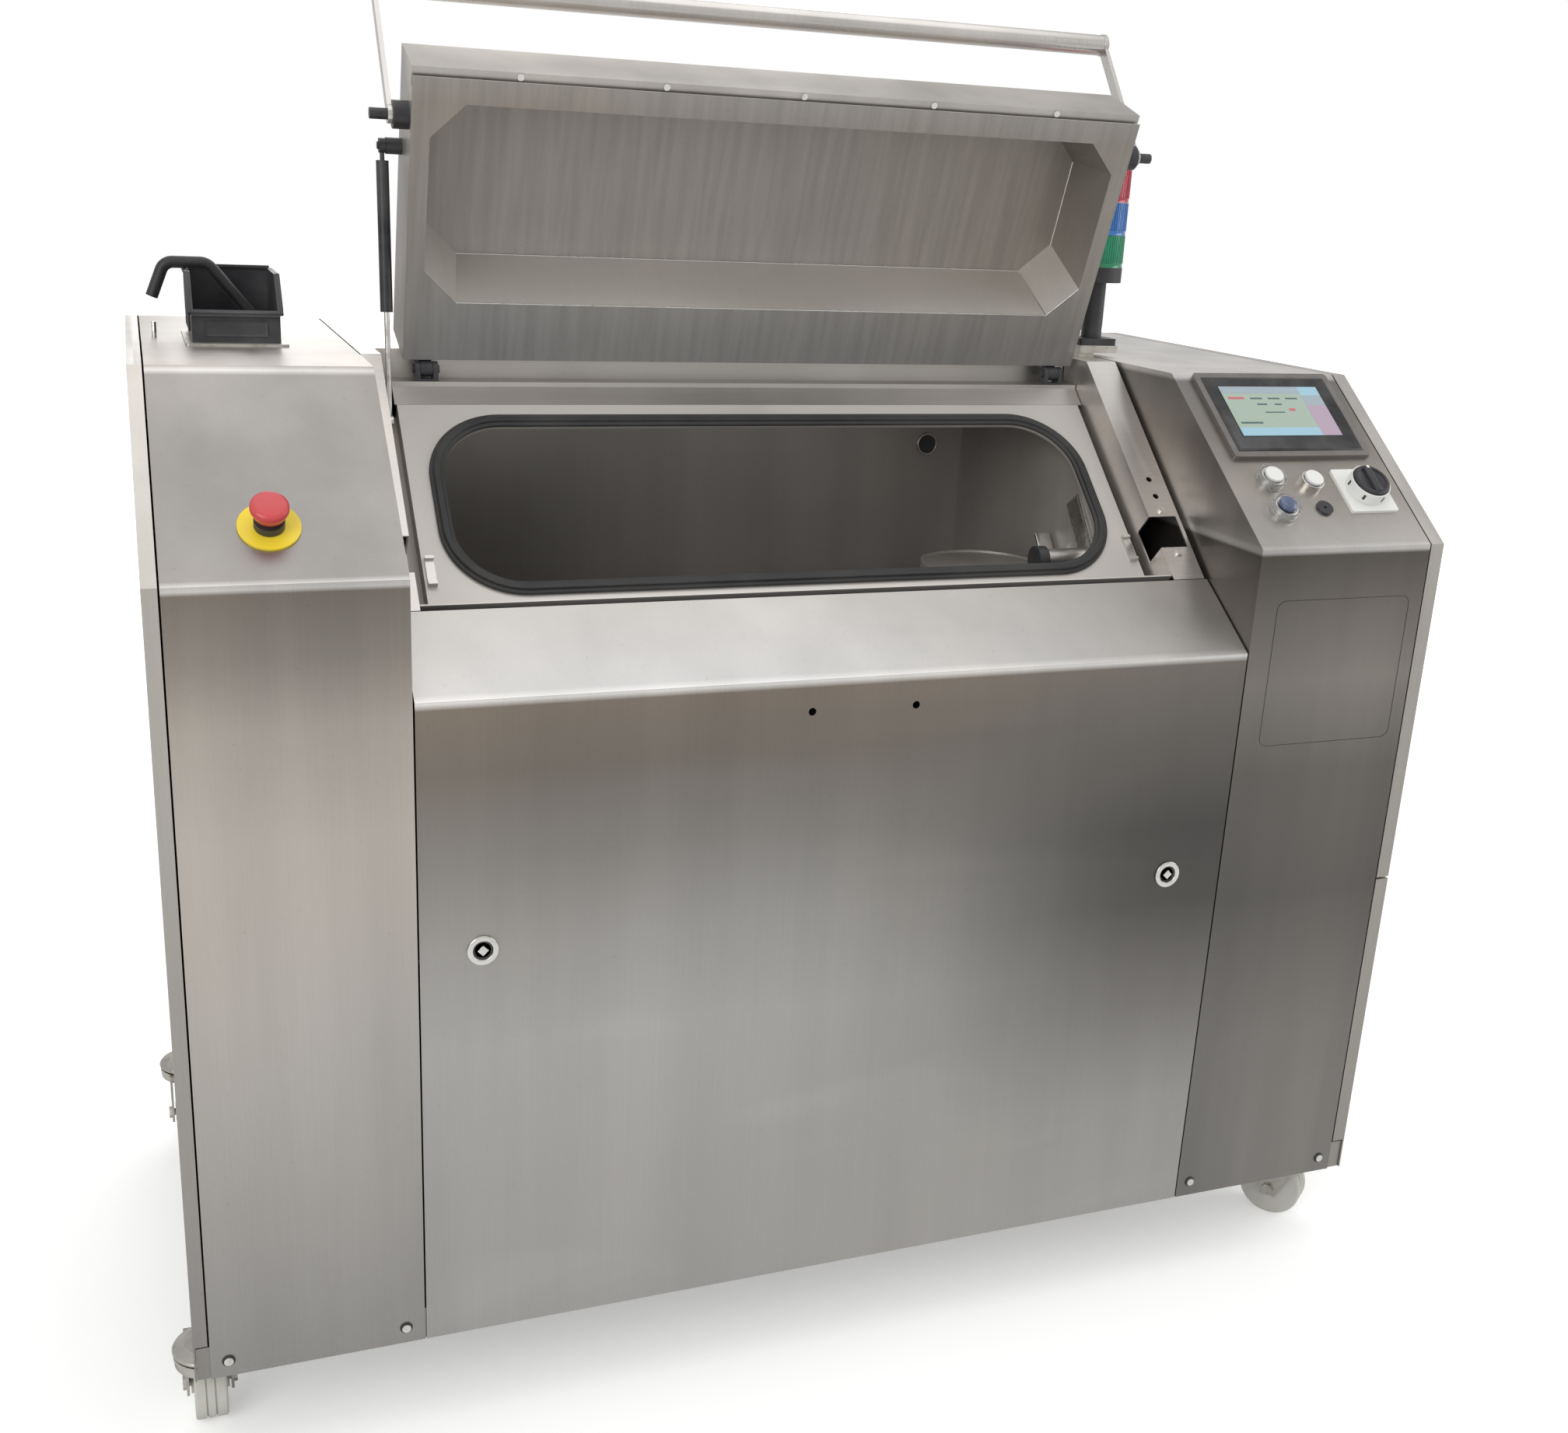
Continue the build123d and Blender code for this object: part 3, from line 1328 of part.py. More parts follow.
# Screws of the covers: bottom row on the front, and the rails' screws
front_screws = [
    (left_x + 36, edge_z + 20),
    (left_column_x1 - 22, edge_z + 20),
    (right_column_x0 + 20, edge_z + 21),
    (right_x - 40, edge_z + 21),
]
with BuildPart() as cover_screws:
    with BuildSketch(Plane.XZ.offset(-front_y)):
        with Locations(*front_screws):
            Circle(5)
    extrude(amount=3)
    for rail_x0, rail_x1, _, _ in rail_sides.values():
        mid_x = (rail_x0 + rail_x1) / 2
        with BuildSketch(rail_plane):
            with Locations(*[(mid_x, along) for along in rail_screws]):
                Circle(4.6)
        extrude(amount=2.6)
        with BuildSketch(rail_plane):
            with Locations(*[(mid_x, along) for along in rail_screws]):
                Circle(2.4)
        extrude(amount=-9)
cover_screws.part.label = "cover_screws"
export_step(cover_screws.part, "parts/cover_screws.step")

# Working gear inside the cabinet
sump_width = 460
sump_length = 420
sump_height = 190
sump_z = edge_z + metal
heater_radius = 5.5
heater_span = 120
with BuildPart() as sump_tank:
    with BuildSketch(Plane.XY.offset(sump_z)):
        with Locations((drain_x, drain_y)):
            Rectangle(sump_width, sump_length)
    extrude(amount=sump_height)
    with BuildSketch(Plane.XY.offset(sump_z + metal)):
        with Locations((drain_x, drain_y)):
            Rectangle(sump_width - 2 * metal, sump_length - 2 * metal)
    extrude(amount=sump_height, mode=Mode.SUBTRACT)
    with BuildLine(Plane.XY.offset(sump_z + 60)):
        heater_path = FilletPolyline(
            (drain_x + sump_width / 2 - metal - touch_gap, drain_y + heater_span / 2),
            (drain_x - 150, drain_y + heater_span / 2),
            (drain_x - 150, drain_y - heater_span / 2),
            (drain_x + sump_width / 2 - metal - touch_gap, drain_y - heater_span / 2),
            radius=heater_span / 2 - 5,
        )
    with BuildSketch(Plane(origin=heater_path @ 0, z_dir=heater_path % 0)):
        Circle(heater_radius)
    sweep()
sump_tank.part.label = "sump_tank"
export_step(sump_tank.part, "parts/sump_tank.step")

# Drain pipe, outlet spigot and mains gland
spigot_out = 18
drain_wall = 3
spigot_length = 90
gland_bore = 4.5
with BuildPart() as rear_fittings:
    with BuildSketch(Plane.XY.offset(sump_z + sump_height - 40)):
        with Locations((drain_x, drain_y)):
            Circle(drain_hole - touch_gap)
            Circle(drain_hole - touch_gap - metal, mode=Mode.SUBTRACT)
    extrude(amount=tank_sump_z - sump_z - sump_height + 44)
    with BuildSketch(Plane.XY.offset(tank_sump_z - 5)):
        with Locations((drain_x, drain_y)):
            Circle(drain_hole + 12)
            Circle(drain_hole - touch_gap - metal, mode=Mode.SUBTRACT)
    extrude(amount=3)
    with BuildSketch(Plane.XZ.offset(-back_y - spigot_out)):
        with Locations(drain_spot):
            Circle(drain_radius)
            Circle(drain_radius - drain_wall, mode=Mode.SUBTRACT)
    extrude(amount=spigot_out)
    with BuildSketch(Plane.XZ.offset(-back_y)):
        with Locations(drain_spot):
            Circle(drain_radius - 1)
            Circle(drain_radius - drain_wall, mode=Mode.SUBTRACT)
    extrude(amount=spigot_length - spigot_out)
    with BuildSketch(Plane.XZ.offset(-back_y + metal)):
        with Locations(drain_spot):
            Circle(drain_radius + 7)
            Circle(drain_radius - drain_wall, mode=Mode.SUBTRACT)
    extrude(amount=4)
    with BuildSketch(Plane.XZ.offset(-back_y - 14)):
        with Locations(gland_spot):
            Circle(gland_radius)
            Circle(gland_bore, mode=Mode.SUBTRACT)
    extrude(amount=34)
    with BuildSketch(Plane.XZ.offset(-back_y - 6)):
        with Locations(gland_spot):
            RegularPolygon(gland_radius + 5, 6)
            Circle(gland_bore, mode=Mode.SUBTRACT)
    extrude(amount=6)
rear_fittings.part.label = "rear_fittings"
export_step(rear_fittings.part, "parts/rear_fittings.step")

pump_x = left_column_x0 + 108
pump_y = front_y + 300
pump_z = edge_z + metal
pump_size = 140
motor_radius = 62
motor_length = 190
with BuildPart() as pump_unit:
    with BuildSketch(Plane.XY.offset(pump_z)):
        with Locations((pump_x, pump_y)):
            RectangleRounded(pump_size, pump_size, 14)
    extrude(amount=100)
    with BuildSketch(Plane.XY.offset(pump_z + 100)):
        with Locations((pump_x, pump_y)):
            Circle(40)
    extrude(amount=20)
    with BuildSketch(Plane.XY.offset(pump_z + 120 + touch_gap)):
        with Locations((pump_x, pump_y)):
            Circle(motor_radius)
            with PolarLocations(motor_radius, 16):
                Rectangle(8, 3)
    extrude(amount=motor_length)
pump_unit.part.label = "pump_unit"
export_step(pump_unit.part, "parts/pump_unit.step")

gear_x = right_column_x0 + panel_gap + metal
gear_y = front_y + 420
gear_z = edge_z + 520
with BuildPart() as control_gear:
    with BuildSketch(Plane.YZ.offset(gear_x)):
        with Locations((gear_y, gear_z)):
            Rectangle(520, 440)
    extrude(amount=3)
    for box_y, box_z, box_w, box_h, box_d in (
        (-150, 120, 160, 100, 60),
        (60, 120, 110, 120, 95),
        (190, 120, 70, 120, 80),
        (-120, -60, 220, 90, 70),
        (120, -60, 160, 70, 55),
    ):
        with BuildSketch(Plane.YZ.offset(gear_x + 3 + touch_gap)):
            with Locations((gear_y + box_y, gear_z + box_z)):
                Rectangle(box_w, box_h)
        extrude(amount=box_d)
control_gear.part.label = "control_gear"
export_step(control_gear.part, "parts/control_gear.step")

# Work clamp in the tank: a bracket on the right end wall with a screw knob
clamp_y, clamp_z = rail_point(110, -flange_sink - 62)
clamp_x = tank_x1 - metal
clamp_reach = 60
with BuildPart() as clamp_bracket:
    with BuildSketch(Plane.YZ.offset(clamp_x)):
        with Locations((clamp_y, clamp_z)):
            Rectangle(70, 44, rotation=rail_angle)
    extrude(amount=-4)
    with BuildSketch(Plane.YZ.offset(clamp_x)):
        with Locations((clamp_y, clamp_z)):
            Circle(14)
    extrude(amount=-clamp_reach)
    with BuildSketch(Plane.YZ.offset(clamp_x - clamp_reach - 1)):
        with Locations((clamp_y, clamp_z)):
            Circle(5 + hinge_hole_clearance)
    extrude(amount=40, mode=Mode.SUBTRACT)
clamp_bracket.part.label = "clamp_bracket"
export_step(clamp_bracket.part, "parts/clamp_bracket.step")

with BuildPart() as clamp_knob:
    with BuildSketch(Plane.YZ.offset(clamp_x - clamp_reach - touch_gap)):
        with Locations((clamp_y, clamp_z)):
            Circle(18)
    extrude(amount=-14)
    with BuildSketch(Plane.YZ.offset(clamp_x - clamp_reach - touch_gap)):
        with Locations((clamp_y, clamp_z)):
            Circle(5)
    extrude(amount=30)
clamp_knob.part.label = "clamp_knob"
export_step(clamp_knob.part, "parts/clamp_knob.step")
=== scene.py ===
import bpy
import json
import math
from mathutils import Euler, Matrix, Vector


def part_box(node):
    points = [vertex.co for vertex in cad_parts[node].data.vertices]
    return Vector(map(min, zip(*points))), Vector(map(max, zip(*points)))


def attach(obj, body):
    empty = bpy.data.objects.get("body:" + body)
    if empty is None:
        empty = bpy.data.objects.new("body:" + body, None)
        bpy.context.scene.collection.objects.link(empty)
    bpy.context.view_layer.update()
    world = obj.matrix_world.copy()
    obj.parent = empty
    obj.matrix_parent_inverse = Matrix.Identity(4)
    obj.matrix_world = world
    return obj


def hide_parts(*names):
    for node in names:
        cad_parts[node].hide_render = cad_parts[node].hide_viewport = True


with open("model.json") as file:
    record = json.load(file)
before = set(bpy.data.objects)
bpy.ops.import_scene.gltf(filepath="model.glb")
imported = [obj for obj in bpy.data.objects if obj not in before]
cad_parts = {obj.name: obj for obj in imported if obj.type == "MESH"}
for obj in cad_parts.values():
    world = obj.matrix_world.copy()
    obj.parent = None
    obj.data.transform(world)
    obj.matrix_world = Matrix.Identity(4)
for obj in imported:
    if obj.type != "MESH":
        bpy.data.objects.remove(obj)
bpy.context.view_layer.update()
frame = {"nodes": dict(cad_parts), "record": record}
nodes = frame["nodes"]

# where things stand, metres and degrees
cabinet = {
    "frontY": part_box("left_column_cover")[0].y,
    "columnFrontZ": 1.007,
    "apronTopZ": 0.948,
    "railY": -0.305,
    "railAngle": 42.2,
    "slopeAngle": 37.453,
}


def onRail(x, along, out=0.0):
    # a point on the tilted work face, along = up the slope from its front edge
    angle = math.radians(cabinet["railAngle"])
    y = cabinet["railY"] + along * math.cos(angle) - out * math.sin(angle)
    z = cabinet["apronTopZ"] + along * math.sin(angle) + out * math.cos(angle)
    return Vector((x, y, z))


def onSlope(x, along, out=0.0):
    # a point on a console's sloped face
    angle = math.radians(cabinet["slopeAngle"])
    y = cabinet["frontY"] + along * math.cos(angle) - out * math.sin(angle)
    z = cabinet["columnFrontZ"] + along * math.sin(angle) + out * math.cos(angle)
    return Vector((x, y, z))


railOut = onRail(0, 0, 1.0) - onRail(0, 0, 0)
slopeOut = onSlope(0, 0, 1.0) - onSlope(0, 0, 0)
sideways = Vector((1, 0, 0))

# camera, lamps, floor
cameraSpec = {
    "place": (-0.7494, -2.05, 1.3979),
    "yaw": 21.281,
    "pitch": 17.594,
    "roll": 2.849,
    "lens": 38.73,
    "sensor": 36.0,
}


def makeCamera(spec):
    cameraData = bpy.data.cameras.new("camera")
    cameraData.lens = spec["lens"]
    cameraData.sensor_width = spec["sensor"]
    cameraData.clip_end = 60.0
    camera = bpy.data.objects.new("camera", cameraData)
    bpy.context.scene.collection.objects.link(camera)
    aim = Euler((math.radians(90 - spec["pitch"]), 0, math.radians(-spec["yaw"])), "XYZ").to_matrix()
    turn = (aim @ Matrix.Rotation(math.radians(spec["roll"]), 3, "Z")).to_4x4()
    camera.matrix_world = Matrix.Translation(spec["place"]) @ turn
    bpy.context.scene.camera = camera


lightSpec = {
    "ambient": 0.60,
    "lamps": (
        ("overhead", (0.0, -0.2, 3.6), (0.0, 0.0, 0.6), 3.2, 27.0),
        ("frontLeft", (-2.8, -3.0, 2.6), (-0.1, 0.0, 0.9), 2.4, 62.0),
        ("right", (3.2, -1.2, 2.2), (0.0, 0.0, 0.8), 2.0, 26.0),
        ("behind", (0.4, 3.2, 2.6), (0.0, 0.0, 0.9), 2.4, 34.0),
    ),
}


def makeLight(spec):
    for name, place, target, size, watts in spec["lamps"]:
        lamp = bpy.data.lights.new(name, "AREA")
        lamp.shape = "SQUARE"
        lamp.size = size
        lamp.energy = watts
        lampObject = bpy.data.objects.new(name, lamp)
        lampObject.location = place
        aim = Vector(target) - Vector(place)
        lampObject.rotation_euler = aim.to_track_quat("-Z", "Y").to_euler()
        bpy.context.scene.collection.objects.link(lampObject)
    world = bpy.data.worlds.new("studio")
    bpy.context.scene.world = world
    world.use_nodes = True
    tree = world.node_tree
    background = tree.nodes["Background"]
    background.inputs["Color"].default_value = (1, 1, 1, 1)
    rays = tree.nodes.new("ShaderNodeLightPath")
    strength = tree.nodes.new("ShaderNodeMapRange")
    strength.inputs["To Min"].default_value = spec["ambient"]
    strength.inputs["To Max"].default_value = 1.0
    tree.links.new(rays.outputs["Is Camera Ray"], strength.inputs["Value"])
    tree.links.new(strength.outputs["Result"], background.inputs["Strength"])


# node helpers for the finishes
def newFinish(name):
    finish = bpy.data.materials.new(name)
    finish.use_nodes = True
    tree = finish.node_tree
    shader = tree.nodes["Principled BSDF"]
    return finish, tree, shader


def link(tree, fromSocket, toSocket):
    tree.links.new(fromSocket, toSocket)
    return toSocket


def coords(tree, scale=(1, 1, 1), turn=(0, 0, 0)):
    # object coordinates, stretched so that a pattern runs along an axis
    place = tree.nodes.new("ShaderNodeTexCoord")
    mapping = tree.nodes.new("ShaderNodeMapping")
    mapping.inputs["Scale"].default_value = scale
    mapping.inputs["Rotation"].default_value = turn
    tree.links.new(place.outputs["Object"], mapping.inputs["Vector"])
    return mapping.outputs["Vector"]


def noise(tree, scale, stretch=(1, 1, 1), detail=4.0, rough=0.55, turn=(0, 0, 0), warp=0.0):
    texture = tree.nodes.new("ShaderNodeTexNoise")
    texture.inputs["Scale"].default_value = scale
    texture.inputs["Detail"].default_value = detail
    texture.inputs["Roughness"].default_value = rough
    texture.inputs["Distortion"].default_value = warp
    tree.links.new(coords(tree, stretch, turn), texture.inputs["Vector"])
    return texture.outputs["Fac"]


def remap(tree, value, fromMin, fromMax, toMin=0.0, toMax=1.0, smooth=False):
    node = tree.nodes.new("ShaderNodeMapRange")
    node.interpolation_type = "SMOOTHSTEP" if smooth else "LINEAR"
    for label, number in (("From Min", fromMin), ("From Max", fromMax), ("To Min", toMin), ("To Max", toMax)):
        node.inputs[label].default_value = number
    tree.links.new(value, node.inputs["Value"])
    return node.outputs["Result"]


def combine(tree, kind, first, second):
    node = tree.nodes.new("ShaderNodeMath")
    node.operation = kind
    for socket, value in zip(node.inputs, (first, second)):
        if isinstance(value, (int, float)):
            socket.default_value = value
        else:
            tree.links.new(value, socket)
    return node.outputs["Value"]


def mixColours(tree, kind, amount, first, second):
    node = tree.nodes.new("ShaderNodeMix")
    node.data_type = "RGBA"
    node.blend_type = kind
    for socket, value in ((node.inputs[0], amount), (node.inputs[6], first), (node.inputs[7], second)):
        if isinstance(value, (int, float)):
            socket.default_value = value
        elif isinstance(value, tuple):
            socket.default_value = (*value, 1.0)
        else:
            tree.links.new(value, socket)
    return node.outputs[2]


def ramp(tree, value, stops):
    # stops: (place from 0 to 1, colour)
    node = tree.nodes.new("ShaderNodeValToRGB")
    elements = node.color_ramp.elements
    while len(elements) > 1:
        elements.remove(elements[0])
    elements[0].position = stops[0][0]
    elements[0].color = (*stops[0][1], 1.0)
    for place, colour in stops[1:]:
        element = elements.new(place)
        element.color = (*colour, 1.0)
    tree.links.new(value, node.inputs["Fac"])
    return node.outputs["Color"]


def axisValue(tree, axis):
    split = tree.nodes.new("ShaderNodeSeparateXYZ")
    tree.links.new(coords(tree), split.inputs["Vector"])
    return split.outputs[axis]


def addBump(tree, shader, height, strength, distance):
    bump = tree.nodes.new("ShaderNodeBump")
    bump.inputs["Strength"].default_value = strength
    bump.inputs["Distance"].default_value = distance
    tree.links.new(height, bump.inputs["Height"])
    tree.links.new(bump.outputs["Normal"], shader.inputs["Normal"])


def heightStops(stops, low, high):
    # (height, grey, warmth) to ramp stops; warmth shifts grey towards brown
    made = []
    for height, grey, warmth in stops:
        colour = (grey * (1 + warmth), grey, grey * (1 - warmth))
        made.append(((height - low) / (high - low), colour))
    return made


def sheetSteel(name, spec):
    # brushed stainless: tone by height (on most sheets painted reflection shading and painted highlight bands
    # at the bends, with some tarnish), brush lines, blotches, run-off streaks and wipe marks
    finish, tree, shader = newFinish(name)
    low, high = spec.get("range", (0.0, 1.3))
    place = remap(tree, axisValue(tree, "Z"), low, high)
    tone = ramp(tree, place, heightStops(spec["tones"], low, high))
    # farTones paint the far right of a sheet darker: painted reflection shading
    if "farTones" in spec:
        far = ramp(tree, place, heightStops(spec["farTones"], low, high))
        across = remap(tree, axisValue(tree, "X"), *spec["farRange"], smooth=True)
        tone = mixColours(tree, "MIX", across, tone, far)
    brushWay = {"x": (0.6, 30, 90), "z": (90, 30, 0.6), "y": (90, 0.6, 30)}[spec.get("brush", "z")]
    brush = noise(tree, 12.0, brushWay, detail=3.0, rough=0.7)
    blotch = noise(tree, spec.get("blotchScale", 2.2), (1.0, 1.0, 0.55), detail=3.0, rough=0.45, warp=0.2)
    streakWay = spec.get("streakWay", (3.2, 3.2, 0.24))
    streak = noise(tree, spec.get("streakScale", 3.4), streakWay, detail=3.0, rough=0.5)
    wipe = noise(tree, 4.0, (0.5, 1.0, 2.0), detail=3.0, rough=0.5, turn=(0, 0.7, 0), warp=0.4)
    speck = noise(tree, 160.0, detail=2.0)
    lift = remap(tree, brush, 0.3, 0.7, 1 - spec.get("brushDepth", 0.035), 1 + spec.get("brushDepth", 0.035))
    cloudy = remap(tree, blotch, 0.32, 0.7, 1 - spec["blotch"], 1 + spec["blotch"])
    lift = combine(tree, "MULTIPLY", lift, cloudy)
    streaky = remap(tree, streak, 0.35, 0.68, 1 + spec["streak"], 1 - spec["streak"])
    lift = combine(tree, "MULTIPLY", lift, streaky)
    lift = combine(tree, "MULTIPLY", lift, remap(tree, wipe, 0.55, 0.75, 1.0, 1 + spec["wipe"], smooth=True))
    lift = combine(tree, "MULTIPLY", lift, remap(tree, speck, 0.66, 0.78, 1.0, 0.9))
    grey = tree.nodes.new("ShaderNodeCombineColor")
    for channel in ("Red", "Green", "Blue"):
        tree.links.new(lift, grey.inputs[channel])
    colour = mixColours(tree, "MULTIPLY", 1.0, tone, grey.outputs["Color"])
    tint = mixColours(tree, "MULTIPLY", remap(tree, blotch, 0.45, 0.75, 0.0, 0.5), colour, (1.0, 0.955, 0.88))
    if "upward" in spec:  # faces that look up are painted lighter: a painted reflection of the bright overhead light
        split = tree.nodes.new("ShaderNodeSeparateXYZ")
        place = tree.nodes.new("ShaderNodeTexCoord")
        tree.links.new(place.outputs["Normal"], split.inputs["Vector"])
        low, high, lightest = spec["upward"]
        upward = remap(tree, split.outputs["Z"], low, high, 0.0, lightest)
        tint = mixColours(tree, "MIX", upward, tint, (0.80, 0.76, 0.70))
    link(tree, tint, shader.inputs["Base Color"])
    shader.inputs["Metallic"].default_value = spec.get("metallic", 0.9)
    blotchRough = remap(tree, blotch, 0.3, 0.7, -0.05, 0.07)
    rough = combine(tree, "ADD", remap(tree, brush, 0.3, 0.7, -0.03, 0.04), blotchRough)
    link(tree, combine(tree, "ADD", rough, spec.get("roughness", 0.36)), shader.inputs["Roughness"])
    shader.inputs["Anisotropic"].default_value = 0.35
    addBump(tree, shader, brush, spec.get("bump", 0.12), 0.0004)
    return finish


def mouldedPlastic(name, colour, roughness=0.45, grain=900.0, depth=0.12, dust=0.12, coat=0.0):
    finish, tree, shader = newFinish(name)
    patch = noise(tree, 14.0, detail=5.0)
    worn = tuple(min(1.0, channel * 0.9 + 0.05) for channel in colour)
    dusty = tuple(channel * (1 - dust) + 0.45 * dust for channel in colour)
    base = mixColours(tree, "MIX", remap(tree, patch, 0.35, 0.7), colour, worn)
    top = mixColours(tree, "MIX", remap(tree, noise(tree, 46.0, detail=3.0), 0.55, 0.8), base, dusty)
    link(tree, top, shader.inputs["Base Color"])
    link(tree, remap(tree, patch, 0.3, 0.7, roughness - 0.06, roughness + 0.1), shader.inputs["Roughness"])
    shader.inputs["Coat Weight"].default_value = coat
    addBump(tree, shader, noise(tree, grain, detail=2.0), depth, 0.0002)
    return finish


def rubberSkin(name):
    finish, tree, shader = newFinish(name)
    patch = noise(tree, 9.0, detail=5.0)
    base = mixColours(tree, "MIX", remap(tree, patch, 0.4, 0.75), (0.012, 0.012, 0.013), (0.042, 0.04, 0.038))
    link(tree, base, shader.inputs["Base Color"])
    link(tree, remap(tree, patch, 0.3, 0.7, 0.42, 0.62), shader.inputs["Roughness"])
    shader.inputs["Sheen Weight"].default_value = 0.15
    addBump(tree, shader, noise(tree, 300.0, detail=3.0), 0.2, 0.0003)
    return finish


def platedSteel(name, colour, roughness=0.38, blotch=0.25, metallic=0.9):
    # zinc or chromate plating with cloudy patches and brown dirt in scattered patches
    finish, tree, shader = newFinish(name)
    cloud = noise(tree, 26.0, detail=6.0, rough=0.65, warp=0.8)
    dark = tuple(channel * (1 - blotch) for channel in colour)
    base = mixColours(tree, "MIX", remap(tree, cloud, 0.35, 0.68), dark, colour)
    grime = remap(tree, noise(tree, 60.0, detail=5.0, warp=0.5), 0.56, 0.72)
    stained = mixColours(tree, "MIX", combine(tree, "MULTIPLY", grime, 0.5), base, (0.16, 0.115, 0.07))
    link(tree, stained, shader.inputs["Base Color"])
    shader.inputs["Metallic"].default_value = metallic
    link(tree, remap(tree, cloud, 0.3, 0.7, roughness - 0.08, roughness + 0.14), shader.inputs["Roughness"])
    addBump(tree, shader, cloud, 0.15, 0.0005)
    return finish


def lensPlastic(name, colour):
    finish, tree, shader = newFinish(name)
    band = noise(tree, 30.0, (1, 1, 0.4), detail=3.0)
    deep = tuple(channel * 0.55 for channel in colour)
    base = mixColours(tree, "MIX", remap(tree, band, 0.3, 0.7), deep, colour)
    link(tree, base, shader.inputs["Base Color"])
    shader.inputs["Roughness"].default_value = 0.16
    shader.inputs["Transmission Weight"].default_value = 0.25
    shader.inputs["Coat Weight"].default_value = 0.6
    addBump(tree, shader, noise(tree, 220.0, (1, 1, 0.05), detail=1.0), 0.25, 0.0006)
    return finish


def clearPlastic(name):
    finish, tree, shader = newFinish(name)
    haze = noise(tree, 120.0, detail=3.0)
    base = mixColours(tree, "MIX", haze, (0.85, 0.87, 0.88), (0.96, 0.97, 0.98))
    link(tree, base, shader.inputs["Base Color"])
    link(tree, remap(tree, haze, 0.3, 0.7, 0.08, 0.2), shader.inputs["Roughness"])
    shader.inputs["Transmission Weight"].default_value = 0.9
    shader.inputs["IOR"].default_value = 1.45
    return finish


def wetTankSteel(name):
    # the inside of the tank: dull, dark grey-brown, with tide marks and drips
    spec = {
        "range": (0.5, 1.2),
        "tones": ((0.55, 0.30, 0.10), (0.72, 0.30, 0.08), (0.9, 0.36, 0.06), (1.1, 0.40, 0.06)),
        "metallic": 0.45,
        "blotch": 0.08, "streak": 0.08, "wipe": 0.08, "roughness": 0.40, "brush": "z", "bump": 0.1,
    }
    finish = sheetSteel(name, spec)
    tree = finish.node_tree
    shader = tree.nodes["Principled BSDF"]
    inside = shader.inputs["Base Color"].links[0].from_socket
    facing = tree.nodes.new("ShaderNodeVectorMath")
    facing.operation = "DOT_PRODUCT"
    tree.links.new(coords(tree), facing.inputs[0])
    facing.inputs[1].default_value = railOut
    flangeLevel = onRail(0, 0).dot(railOut)
    onFlange = remap(tree, facing.outputs["Value"], flangeLevel - 0.0447, flangeLevel - 0.0438)
    link(tree, mixColours(tree, "MIX", onFlange, inside, (0.60, 0.57, 0.54)), shader.inputs["Base Color"])
    return finish
